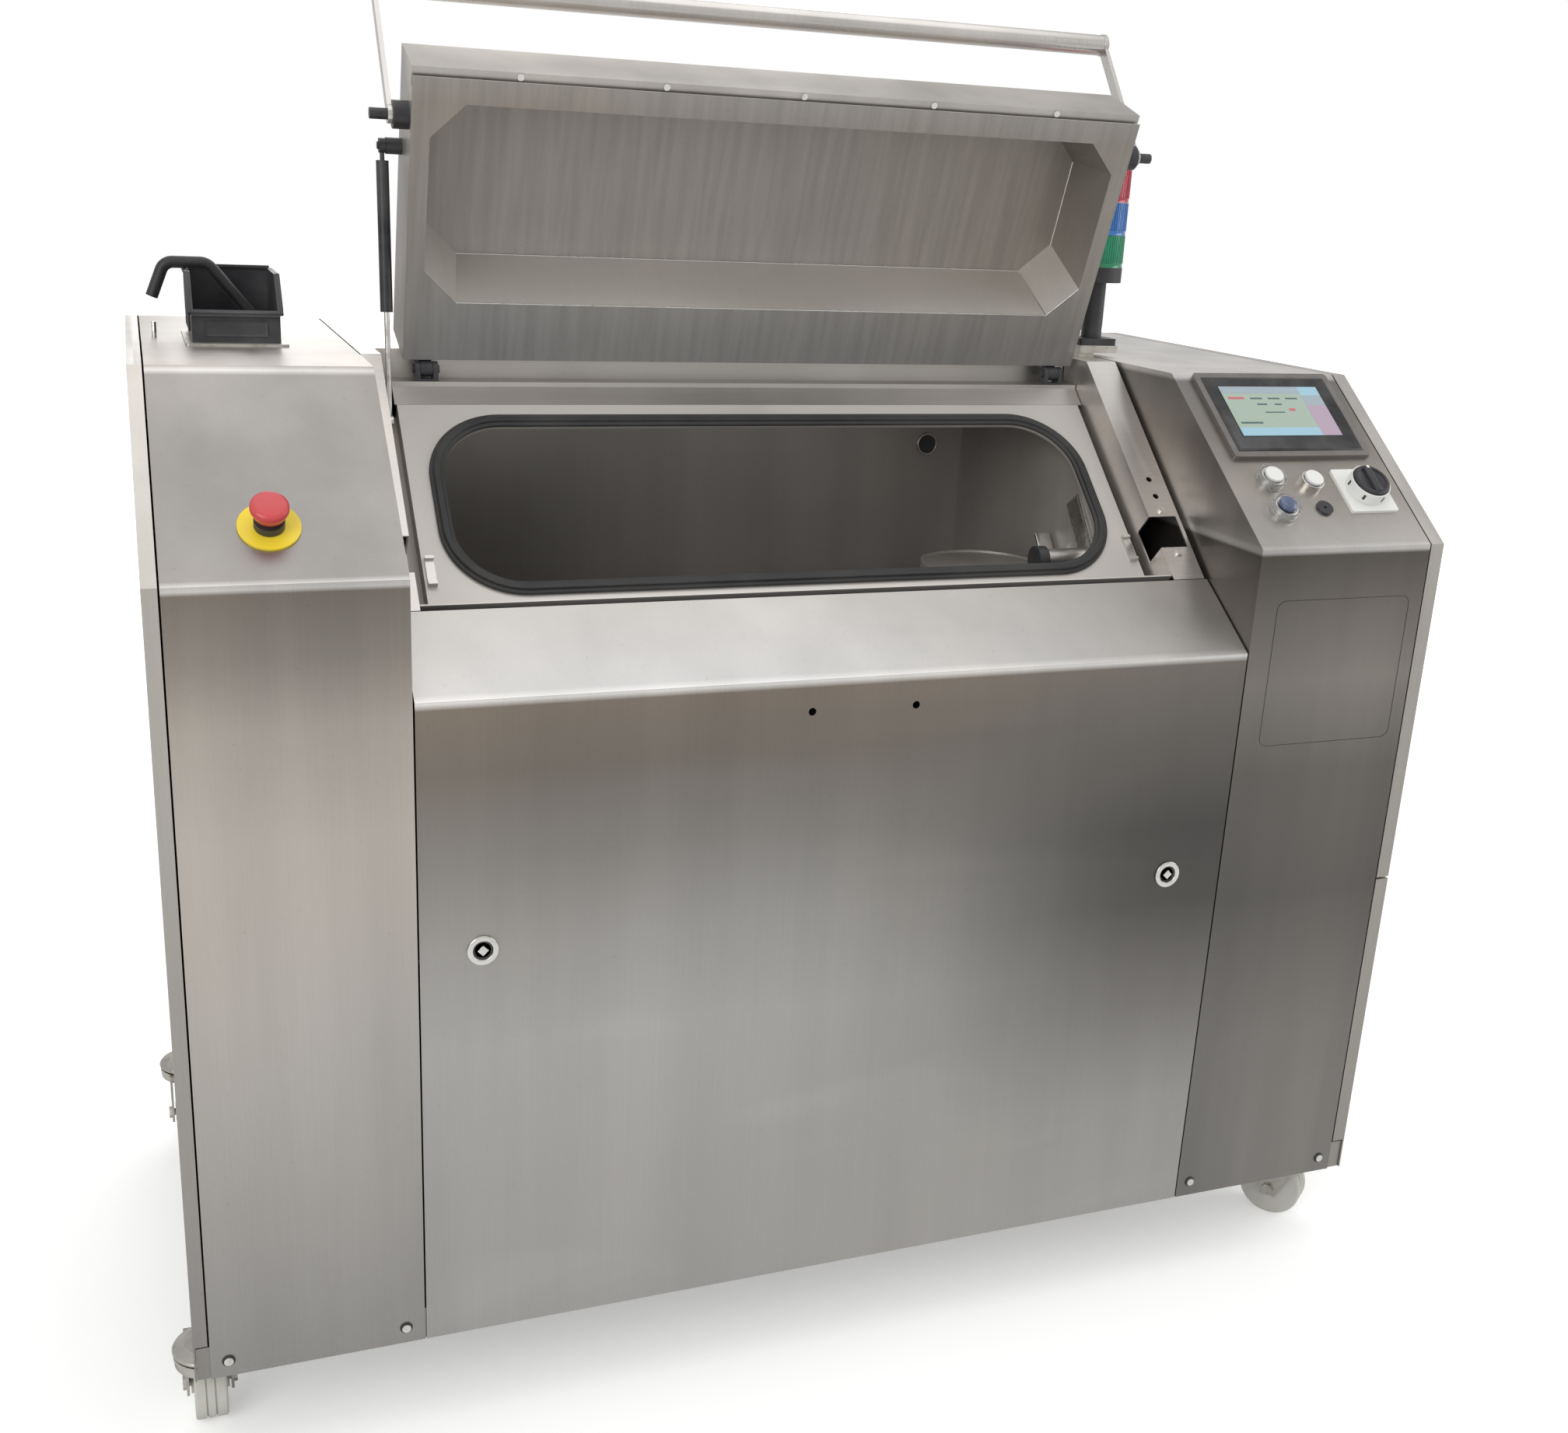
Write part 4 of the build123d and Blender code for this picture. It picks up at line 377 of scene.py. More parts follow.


# steel sheets by node: tone by height (height, grey, warmth); the height tones are painted reflection shading
# with some tarnish, and narrow bright stops at the bends are painted highlights
steelSpecs = {
    "leftColumn": {
        "tones": (
            (0.12, 0.34, 0.03), (0.30, 0.38, 0.04), (0.55, 0.44, 0.06), (0.74, 0.46, 0.08),
            (0.86, 0.40, 0.09),
            # the bright stops at 1.004 and 1.184 are painted highlights along the bends, and the dark stops
            # below 1.004 are painted reflection shading
            (0.93, 0.27, 0.10), (0.998, 0.20, 0.12), (1.004, 0.80, 0.02), (1.010, 0.31, 0.05),
            (1.10, 0.29, 0.05),
            (1.180, 0.33, 0.05), (1.184, 0.80, 0.02), (1.187, 0.40, 0.08),
        ),
        "range": (0.1, 1.2), "blotch": 0.08, "streak": 0.08, "wipe": 0.07,
    },
    "rightColumn": {
        "tones": (
            # the right column is painted dark overall: painted reflection shading; the bright stops at 1.004
            # and 1.184 are painted highlights along the bends
            (0.12, 0.22, 0.03), (0.35, 0.19, 0.03), (0.55, 0.12, 0.04), (0.72, 0.15, 0.06),
            (0.84, 0.25, 0.08),
            (0.92, 0.20, 0.09), (0.998, 0.12, 0.10), (1.004, 0.75, 0.02), (1.010, 0.50, 0.05),
            (1.06, 0.42, 0.09),
            (1.12, 0.28, 0.10), (1.180, 0.26, 0.03), (1.184, 0.80, 0.02), (1.187, 0.74, 0.04),
        ),
        "range": (0.1, 1.2), "blotch": 0.09, "streak": 0.09, "wipe": 0.07,
    },
    "frontCover": {
        "tones": (
            (0.12, 0.42, 0.02), (0.30, 0.41, 0.02), (0.48, 0.43, 0.02), (0.60, 0.36, 0.03),
            (0.70, 0.26, 0.05),
            # the bright stop at 0.877 is a painted highlight along the bend, and the dark warm band below it
            # is painted reflection shading with some tarnish
            (0.80, 0.19, 0.12), (0.870, 0.22, 0.17), (0.877, 0.85, 0.02), (0.883, 0.56, 0.02),
            (0.948, 0.54, 0.04),
        ),
        # the right part of the front is painted darker in its middle: painted reflection shading; the bright
        # stop at 0.877 is a painted highlight along the bend
        "farTones": (
            (0.12, 0.42, 0.02), (0.28, 0.34, 0.02), (0.42, 0.20, 0.03), (0.56, 0.10, 0.04),
            (0.66, 0.09, 0.03),
            (0.78, 0.15, 0.06), (0.870, 0.20, 0.10), (0.877, 0.80, 0.02), (0.883, 0.50, 0.03),
            (0.948, 0.46, 0.05),
        ),
        "farRange": (-0.12, 0.42), "range": (0.1, 1.0), "blotch": 0.06, "streak": 0.05, "wipe": 0.06,
    },
    "sidePanel": {
        "tones": ((0.12, 0.30, 0.04), (0.6, 0.36, 0.05), (1.0, 0.48, 0.05), (1.187, 0.58, 0.05)),
        "range": (0.1, 1.2), "blotch": 0.08, "streak": 0.08, "wipe": 0.06,
    },
    "deck": {
        "tones": ((0.94, 0.40, 0.06), (1.05, 0.46, 0.05), (1.15, 0.48, 0.05), (1.187, 0.56, 0.05)),
        "range": (0.9, 1.25), "brush": "x", "blotch": 0.07, "streak": 0.04, "wipe": 0.06, "roughness": 0.34,
    },
    "rail": {
        "tones": ((0.88, 0.58, 0.05), (1.187, 0.70, 0.04)),
        "range": (0.85, 1.25), "brush": "x", "blotch": 0.10, "streak": 0.05, "wipe": 0.08, "roughness": 0.3,
    },
    "lidLiner": {
        "tones": (
            (1.17, 0.31, 0.01), (1.24, 0.31, 0.03), (1.30, 0.30, 0.07), (1.46, 0.27, 0.09),
            (1.50, 0.33, 0.05),
            (1.54, 0.36, 0.04),
        ),
        "range": (1.1, 1.6), "blotch": 0.05, "blotchScale": 3.5, "streak": 0.08, "streakScale": 40.0,
        "streakWay": (2.6, 0.3, 0.10), "wipe": 0.03, "bump": 0.06, "metallic": 0.7, "roughness": 0.42,
        # up-facing faces of the liner are painted lighter: painted reflection
        "upward": (0.3, 0.6, 0.75),
    },
    "lidShell": {
        "tones": ((1.17, 0.40, 0.05), (1.35, 0.42, 0.05), (1.56, 0.46, 0.05)),
        "range": (1.1, 1.6), "blotch": 0.12, "streak": 0.12, "wipe": 0.1,
    },
    "smallParts": {
        "tones": ((0.1, 0.55, 0.04), (1.6, 0.62, 0.04)),
        "range": (0.0, 1.7), "blotch": 0.12, "streak": 0.06, "wipe": 0.05, "roughness": 0.28,
    },
}

finishByNode = {
    "left_column_cover": "leftColumn", "right_column_cover": "rightColumn", "front_cover": "frontCover",
    "left_side_panel": "sidePanel", "right_lower_panel": "sidePanel", "right_door": "sidePanel",
    "rear_panel": "sidePanel", "top_deck": "deck", "left_rail": "rail", "right_rail": "rail",
    "lid_liner": "lidLiner", "lid_shell": "lidShell", "hmi_bezel": "bezelGrey",
    "hinge_brackets": "blackPlastic", "lid_brackets": "blackPlastic", "base_frame": "sidePanel",
}


def makeFinishes():
    made = {name: sheetSteel(name, spec) for name, spec in steelSpecs.items()}
    made["tank"] = wetTankSteel("tank")
    made["zinc"] = platedSteel("zinc", (0.62, 0.60, 0.55))
    made["bright"] = platedSteel("bright", (0.78, 0.77, 0.74), roughness=0.2, blotch=0.12, metallic=1.0)
    made["rubber"] = rubberSkin("rubber")
    made["blackPlastic"] = mouldedPlastic("blackPlastic", (0.012, 0.012, 0.016), roughness=0.4, dust=0.06)
    made["whitePlastic"] = mouldedPlastic("whitePlastic", (0.78, 0.78, 0.76), roughness=0.35, dust=0.05)
    made["nylon"] = mouldedPlastic("nylon", (0.58, 0.57, 0.52), roughness=0.5, grain=400.0, dust=0.25)
    made["bluePlastic"] = mouldedPlastic(
        "bluePlastic", (0.045, 0.075, 0.16), roughness=0.2, dust=0.04, coat=0.5
    )
    made["yellow"] = mouldedPlastic("yellow", (0.88, 0.66, 0.01), roughness=0.4, dust=0.08)
    made["red"] = mouldedPlastic("red", (0.56, 0.03, 0.035), roughness=0.3, dust=0.1, coat=0.2)
    made["paint"] = mouldedPlastic("paint", (0.08, 0.13, 0.22), roughness=0.4, grain=500.0, dust=0.2)
    made["darkGlass"] = mouldedPlastic(
        "darkGlass", (0.006, 0.006, 0.008), roughness=0.12, depth=0.02, dust=0.03
    )
    made["clear"] = clearPlastic("clear")
    made["bezelGrey"] = platedSteel(
        "bezelGrey", (0.23, 0.215, 0.205), roughness=0.35, blotch=0.1, metallic=0.6
    )
    lensShades = (("Red", (0.75, 0.03, 0.08)), ("Blue", (0.05, 0.28, 0.80)), ("Green", (0.02, 0.45, 0.22)))
    for colour, shade in lensShades:
        made["lens" + colour] = lensPlastic("lens" + colour, shade)
    return made


finishBySlot = {
    "stainless": "smallParts", "satin_steel": "smallParts", "tank_steel": "tank", "zinc_steel": "zinc",
    "black_rubber": "rubber", "black_plastic": "blackPlastic", "white_plastic": "whitePlastic",
    "grey_nylon": "nylon", "dark_blue_plastic": "bluePlastic", "yellow_plastic": "yellow",
    "red_plastic": "red", "lens_red": "lensRed", "lens_blue": "lensBlue", "lens_green": "lensGreen",
    "screen_glass": "blackPlastic", "chrome": "bright", "painted_machine": "paint",
}


def dressNodes(finishes):
    for part in frame["record"]["subparts"]:
        name = part["node"]
        finish = finishes[finishByNode.get(name, finishBySlot[part["material_slot"]])]
        slots = nodes[name].material_slots
        for materialSlot in slots:
            materialSlot.material = finish
        if not slots:
            nodes[name].data.materials.append(finish)


makeCamera(cameraSpec)
makeLight(lightSpec)
bpy.context.scene.view_settings.view_transform = "Standard"
print("camera and lamps placed")
finishes = makeFinishes()
dressNodes(finishes)
print("finishes given to", len(nodes), "nodes")


# modelling helpers: a primitive is added, its faces are picked and pushed, and its place is applied
def deselectAll():
    bpy.ops.object.select_all(action="DESELECT")


def named(name):
    piece = bpy.context.object
    piece.name = name
    piece.data.name = name
    return piece


def applyPlace(piece):
    deselectAll()
    piece.select_set(True)
    bpy.context.view_layer.objects.active = piece
    bpy.ops.object.transform_apply(location=True, rotation=True, scale=True)
    return piece


def startCylinder(name, radius, depth, centre=(0, 0, 0), facing=(0, 0, 1), sides=48):
    deselectAll()
    turn = Vector(facing).to_track_quat("Z", "Y").to_euler()
    bpy.ops.mesh.primitive_cylinder_add(
        vertices=sides, radius=radius, depth=depth, location=centre, rotation=turn
    )
    return applyPlace(named(name))


def startBlock(name, size, centre=(0, 0, 0)):
    deselectAll()
    bpy.ops.mesh.primitive_cube_add(size=1.0, location=centre)
    piece = named(name)
    piece.scale = size
    return applyPlace(piece)


def editFaces(piece, test):
    # leaves the piece in edit mode with the faces that pass the test selected
    deselectAll()
    piece.select_set(True)
    bpy.context.view_layer.objects.active = piece
    bpy.context.tool_settings.mesh_select_mode = (False, False, True)
    bpy.ops.object.mode_set(mode="EDIT")
    bpy.ops.mesh.select_all(action="DESELECT")
    bpy.ops.object.mode_set(mode="OBJECT")
    for face in piece.data.polygons:
        face.select = test(face)
    bpy.ops.object.mode_set(mode="EDIT")


def inset(width, depth=0.0):
    bpy.ops.mesh.inset(thickness=width, depth=depth)


def push(way):
    bpy.ops.mesh.extrude_region_move(TRANSFORM_OT_translate={"value": tuple(way)})


def endEdit():
    bpy.ops.object.mode_set(mode="OBJECT")


def facesAlong(way, least=0.9):
    way = Vector(way).normalized()
    return lambda face: face.normal.dot(way) > least


def roundEdges(piece, width, sections=2, angle=30):
    modifier = piece.modifiers.new("edges", "BEVEL")
    modifier.width = width
    modifier.segments = sections
    modifier.limit_method = "ANGLE"
    modifier.angle_limit = math.radians(angle)
    deselectAll()
    piece.select_set(True)
    bpy.context.view_layer.objects.active = piece
    bpy.ops.object.modifier_apply(modifier="edges")
    return piece


def startRing(name, outer, inner, depth, centre, sides=48):
    ring = startCylinder(name, outer, depth, centre, sides=sides)
    editFaces(ring, lambda face: abs(face.normal.z) > 0.9)
    inset(outer - inner)
    bpy.ops.mesh.bridge_edge_loops()
    endEdit()
    return ring


def startOutline(name, width, height, corner, sections, wall):
    # a flat frame with round corners
    deselectAll()
    bpy.ops.mesh.primitive_plane_add(size=1.0)
    ring = named(name)
    ring.scale = (width, height, 1)
    applyPlace(ring)
    bpy.context.tool_settings.mesh_select_mode = (True, False, False)
    bpy.ops.object.mode_set(mode="EDIT")
    bpy.ops.mesh.select_all(action="SELECT")
    bpy.ops.mesh.bevel(offset=corner, offset_type="OFFSET", segments=sections, affect="VERTICES")
    bpy.context.tool_settings.mesh_select_mode = (False, False, True)
    bpy.ops.mesh.select_all(action="SELECT")
    inset(wall)
    bpy.ops.mesh.delete(type="FACE")
    bpy.ops.mesh.select_all(action="SELECT")
    return ring


def shapeFaces(piece, way, *steps):
    # picks the faces that look one way, then insets by (width, depth) or pushes by a vector
    editFaces(piece, facesAlong(way))
    for step in steps:
        if len(step) == 2:
            inset(*step)
        else:
            push(step)
    endEdit()
    return piece


def standOn(piece, origin, across, outward):
    # turns a piece modelled on the XY plane so that X runs along across and Z along outward
    xAxis = Vector(across).normalized()
    zAxis = Vector(outward).normalized()
    yAxis = zAxis.cross(xAxis)
    turn = Matrix((xAxis, yAxis, zAxis)).transposed().to_4x4()
    piece.matrix_world = Matrix.Translation(origin) @ turn
    return applyPlace(piece)


def moveMesh(piece, shift):
    piece.data.transform(Matrix.Translation(shift))


def joinPieces(pieces, name):
    deselectAll()
    for piece in pieces:
        piece.select_set(True)
    bpy.context.view_layer.objects.active = pieces[0]
    if len(pieces) > 1:
        bpy.ops.object.join()
    return named(name)


def finishPiece(piece, finish, body, smooth=35, replaced=()):
    deselectAll()
    piece.select_set(True)
    bpy.context.view_layer.objects.active = piece
    bpy.ops.object.shade_smooth_by_angle(angle=math.radians(smooth))
    piece.data.materials.clear()
    piece.data.materials.append(finishes[finish])
    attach(piece, body)
    if replaced:
        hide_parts(*replaced)
    return piece



# door gasket: a clip strip with a round bulb along its middle
gasketSpec = {
    "centreX": -0.0185, "centreAlong": 0.1715, "sink": 0.0434, "length": 0.854, "height": 0.256,
    "corner": 0.092, "strip": 0.017, "stripThick": 0.0042, "bulbInset": 0.0045, "sections": 20,
    "bulbRise": 0.0032,
}


def makeGasket(spec):
    ring = startOutline(
        "doorGasket", spec["length"], spec["height"], spec["corner"], spec["sections"], spec["strip"]
    )
    push((0, 0, spec["stripThick"]))
    endEdit()
    top = spec["stripThick"] * 0.9
    editFaces(ring, lambda face: face.center.z > top and abs(face.normal.z) > 0.9)
    inset(spec["bulbInset"])
    push((0, 0, spec["bulbRise"]))
    inset(spec["bulbInset"] * 0.3)
    bpy.ops.mesh.select_all(action="SELECT")
    bpy.ops.mesh.normals_make_consistent(inside=False)
    endEdit()
    roundEdges(ring, 0.0016, 3)
    place = onRail(spec["centreX"], spec["centreAlong"], -spec["sink"])
    standOn(ring, place, sideways, railOut)
    finishPiece(ring, "rubber", "cabinet", replaced=("tank_gasket",))


# display: dark glass with a lit page of plain blocks
displaySpec = {
    "x": 0.619, "along": 0.218, "proud": 0.006, "glass": (0.188, 0.128), "page": (0.150, 0.086),
    "pageShift": (-0.001, 0.004), "glassThick": 0.0009,
}
pageBlocks = (
    # left, bottom, width, height as shares of the page, finish
    (0.00, 0.00, 0.80, 0.16, "pageBlue"), (0.80, 0.00, 0.20, 0.62, "pagePink"),
    (0.80, 0.62, 0.20, 0.20, "pageGrey"),
    (0.00, 0.86, 0.80, 0.14, "pageGrey"), (0.80, 0.82, 0.20, 0.18, "pageBlue"),
    (0.04, 0.74, 0.16, 0.045, "pageRed"), (0.26, 0.74, 0.12, 0.03, "pageDark"),
    (0.44, 0.74, 0.12, 0.03, "pageDark"),
    (0.62, 0.74, 0.12, 0.03, "pageDark"), (0.30, 0.62, 0.10, 0.03, "pageDark"),
    (0.48, 0.62, 0.07, 0.03, "pageDark"),
    (0.04, 0.24, 0.22, 0.035, "pageDark"), (0.34, 0.46, 0.20, 0.022, "pageDark"),
    (0.60, 0.50, 0.06, 0.05, "pageRed"),
)


def pagePaint(name, colour, glow=0.55):
    finish, tree, shader = newFinish(name)
    grain = noise(tree, 300.0, detail=2.0)
    dull = tuple(channel * 0.9 for channel in colour)
    base = mixColours(tree, "MIX", grain, dull, colour)
    link(tree, base, shader.inputs["Base Color"])
    link(tree, base, shader.inputs["Emission Color"])
    shader.inputs["Emission Strength"].default_value = glow
    shader.inputs["Roughness"].default_value = 0.12
    return finish


def makeDisplay(spec):
    pageColours = (
        ("pagePale", (0.26, 0.32, 0.27)), ("pageBlue", (0.24, 0.38, 0.46)), ("pagePink", (0.31, 0.24, 0.30)),
        ("pageGrey", (0.24, 0.29, 0.32)), ("pageRed", (0.40, 0.10, 0.11)), ("pageDark", (0.06, 0.10, 0.10)),
    )
    for name, colour in pageColours:
        finishes[name] = pagePaint(name, colour)
    place = onSlope(spec["x"], spec["along"], spec["proud"])
    glass = startBlock("displayGlass", (*spec["glass"], spec["glassThick"]), (0, 0, spec["glassThick"] / 2))
    shapeFaces(glass, (0, 0, 1), (0.004, 0.0), (0, 0, -0.0003))
    roundEdges(glass, 0.0003, 2)
    standOn(glass, place, sideways, slopeOut)
    finishPiece(glass, "darkGlass", "cabinet")
    width, height = spec["page"]
    shiftX, shiftY = spec["pageShift"]
    page = startBlock("displayPage", (width, height, 0.0006), (shiftX, shiftY, spec["glassThick"] + 0.0001))
    roundEdges(page, 0.0002, 1)
    standOn(page, place, sideways, slopeOut)
    finishPiece(page, "pagePale", "cabinet", replaced=("hmi_screen",))
    grouped = {}
    for left, bottom, blockWidth, blockHeight, finish in pageBlocks:
        centreX = shiftX + width * (left + blockWidth / 2 - 0.5)
        centreY = shiftY + height * (bottom + blockHeight / 2 - 0.5)
        block = startBlock("block", (width * blockWidth, height * blockHeight, 0.0004))
        moveMesh(block, (centreX, centreY, spec["glassThick"] + 0.00045))
        grouped.setdefault(finish, []).append(block)
    for finish, blocks in grouped.items():
        tiles = joinPieces(blocks, "display" + finish[0].upper() + finish[1:])
        roundEdges(tiles, 0.00008, 1)
        standOn(tiles, place, sideways, slopeOut)
        finishPiece(tiles, finish, "cabinet")


# emergency stop head: smooth red dome that narrows towards its collar
stopSpec = {"x": -0.638, "along": 0.072, "base": 0.0175, "radius": 0.019, "neck": 0.0150, "height": 0.0175}


def makeStopHead(spec):
    head = startCylinder(
        "stopHead", spec["neck"], spec["height"] * 0.55, (0, 0, spec["height"] * 0.275), sides=64
    )
    editFaces(head, facesAlong((0, 0, 1)))
    bpy.ops.transform.resize(value=(spec["radius"] / spec["neck"], spec["radius"] / spec["neck"], 1))
    for rise, share in ((0.30, 0.97), (0.10, 0.85), (0.07, 0.62), (0.03, 0.3)):
        push((0, 0, spec["height"] * rise))
        bpy.ops.transform.resize(value=(share, share, 1))
    endEdit()
    roundEdges(head, 0.0012, 3, angle=20)
    stem = startCylinder("stopStem", 0.0068, 0.030, (0, 0, -0.014))
    shapeFaces(stem, (0, 0, 1), (0.001, 0.0005))
    whole = joinPieces([head, stem], "stopHead")
    standOn(whole, onSlope(spec["x"], spec["along"], spec["base"]), sideways, slopeOut)
    finishPiece(whole, "red", "estop_button", smooth=50, replaced=("estop_head",))


# clear shrouds round two of the buttons
shroudSpec = {
    "spots": (("upperLeft", 0.553, 0.110), ("lowerLeft", 0.550, 0.061)),
    "outer": 0.0185, "wall": 0.0018, "height": 0.011,
}


def makeShrouds(spec):
    for name, x, along in spec["spots"]:
        inner = spec["outer"] - spec["wall"]
        shroud = startRing(
            "shroud_" + name, spec["outer"], inner, spec["height"], (0, 0, spec["height"] / 2), 56
        )
        roundEdges(shroud, 0.0005, 2, angle=40)
        standOn(shroud, onSlope(x, along, 0.0002), sideways, slopeOut)
        finishPiece(shroud, "clear", "cabinet", smooth=50)


# signal light: ribbed lens modules with bayonet rings in the lens colour
lensSpec = {"ribs": 60, "ribDepth": 0.0009, "ring": 0.006, "cap": 0.004}


def makeSignalLight(spec):
    for colour in ("green", "blue", "red"):
        low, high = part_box("stack_lens_" + colour)
        radius = (high.x - low.x) / 2 - spec["ribDepth"]
        centre = (low + high) / 2
        height = high.z - low.z
        lensHeight = height - spec["ring"]
        lensCentre = (centre.x, centre.y, low.z + spec["ring"] + lensHeight / 2)
        lens = startCylinder("lens_" + colour, radius, lensHeight, lensCentre, sides=spec["ribs"] * 2)
        middle = lensCentre[2]
        number = [0]

        def everyOther(face):
            if abs(face.normal.z) > 0.2:
                return False
            number[0] += 1
            return number[0] % 2 == 0 and abs(face.center.z - middle) < 0.001

        editFaces(lens, everyOther)
        bpy.ops.mesh.inset(thickness=0.0004, depth=spec["ribDepth"] * 0.9, use_individual=True)
        endEdit()
        if colour == "red":
            shapeFaces(lens, (0, 0, 1), (0.003, 0.0), (0, 0, -0.0002), (0.012, 0.0), (0, 0, -0.0006))
        finish = "lens" + colour[0].upper() + colour[1:]
        finishPiece(lens, finish, "cabinet", smooth=25, replaced=("stack_lens_" + colour,))
        ringCentre = (centre.x, centre.y, low.z + spec["ring"] / 2)
        ring = startCylinder(
            "lensRing_" + colour, radius + spec["ribDepth"] * 0.9, spec["ring"], ringCentre, sides=64
        )
        editFaces(ring, lambda face: abs(face.normal.z) < 0.2)
        inset(0.0012, -0.0006)
        endEdit()
        finishPiece(ring, finish, "cabinet")


# parts bin: rim, side louvres and a label lip on top of the plain tub
binSpec = {
    "rim": 0.004, "rimHeight": 0.0045, "louvres": 6, "louvreThick": 0.0016, "louvreWidth": 0.006,
    "slopeRun": 0.040, "lip": 0.034,
}


def makeBinTrim(spec):
    low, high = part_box("parts_bin")
    pieces = []
    slopeRun, lip = spec["slopeRun"], spec["lip"]
    for side, x in ((-1, low.x), (1, high.x)):
        rim = startBlock("rim", (spec["rim"], high.y - low.y - slopeRun, spec["rimHeight"]))
        shapeFaces(rim, (0, 0, 1), (0.0008, 0.0003))
        centreY = (low.y + slopeRun + high.y) / 2
        moveMesh(rim, (x + side * spec["rim"] / 2, centreY, high.z - spec["rimHeight"] / 2))
        pieces.append(rim)
        rise = high.z - low.z - lip
        slopeLength = math.hypot(slopeRun, rise)
        edge = startBlock("edge", (spec["rim"], slopeLength, spec["rimHeight"] * 0.8))
        tilt = Matrix.Rotation(math.atan2(rise, slopeRun), 4, "X")
        edge.data.transform(tilt)
        edgeCentre = (x + side * spec["rim"] / 2, low.y + slopeRun / 2, low.z + lip + rise / 2 - 0.002)
        moveMesh(edge, edgeCentre)
        pieces.append(edge)
        for count in range(spec["louvres"]):
            share = (count + 0.5) / spec["louvres"]
            y = low.y + slopeRun + share * (high.y - low.y - slopeRun)
            louvre = startBlock("louvre", (spec["louvreThick"], spec["louvreWidth"], high.z - low.z - 0.016))
            shapeFaces(louvre, (side, 0, 0), (0.0012, 0.0006))
            moveMesh(louvre, (x + side * spec["louvreThick"] / 2, y, (low.z + high.z) / 2))
            pieces.append(louvre)
    back = startBlock("back", (high.x - low.x, spec["rim"], spec["rimHeight"]))
    moveMesh(back, ((low.x + high.x) / 2, high.y - spec["rim"] / 2 - 0.0022, high.z + 0.001))
    pieces.append(back)
    front = startBlock("front", (high.x - low.x, spec["rim"] * 1.6, spec["rimHeight"]))
    shapeFaces(front, (0, -1, 0), (0.001, -0.0008))
    moveMesh(front, ((low.x + high.x) / 2, low.y - spec["rim"] * 0.6, low.z + lip - 0.002))
    pieces.append(front)
    label = startBlock("label", ((high.x - low.x) * 0.7, 0.0022, 0.018))
    shapeFaces(label, (0, -1, 0), (0.0018, -0.0012))
    moveMesh(label, ((low.x + high.x) / 2, low.y - 0.0009, low.z + 0.016))
    pieces.append(label)
    trim = joinPieces(pieces, "binTrim")
    roundEdges(trim, 0.0005, 2)
    finishPiece(trim, "blackPlastic", "cabinet")


# bright hook eye at the free end of the rod
def makeHookEye():
    low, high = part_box("hook_rod")
    centre = ((low.x + 0.0068), (low.y + high.y) / 2, low.z - 0.002)
    eye = startCylinder("hookEye", 0.0028, 0.018, centre, sides=24)
    editFaces(eye, facesAlong((0, 0, -1)))
    push((0, 0, -0.002))
    bpy.ops.transform.resize(value=(1.6, 1.6, 1))
    push((0, 0, -0.003))
    inset(0.0012, -0.001)
    endEdit()
    roundEdges(eye, 0.0004, 2, angle=40)
    finishPiece(eye, "bright", "cabinet")


# main switch: black dial with a ridge and a white pointer, dark slots round its white collar
switchSpec = {
    "x": 0.682, "along": 0.088, "base": 0.0113, "radius": 0.0238, "height": 0.0118,
    "ridge": (0.0125, 0.0430, 0.0050), "pointer": (0.0034, 0.0040, 0.0005), "slots": 6,
    "slot": (0.0030, 0.0030, 0.0070), "collar": 0.0264, "wall": 0.0018, "collarTop": 0.0205,
    "slotHeight": 0.0130,
    "plate": 0.004, "slotTurn": 20, "stem": 0.005, "stemLength": 0.020,
}


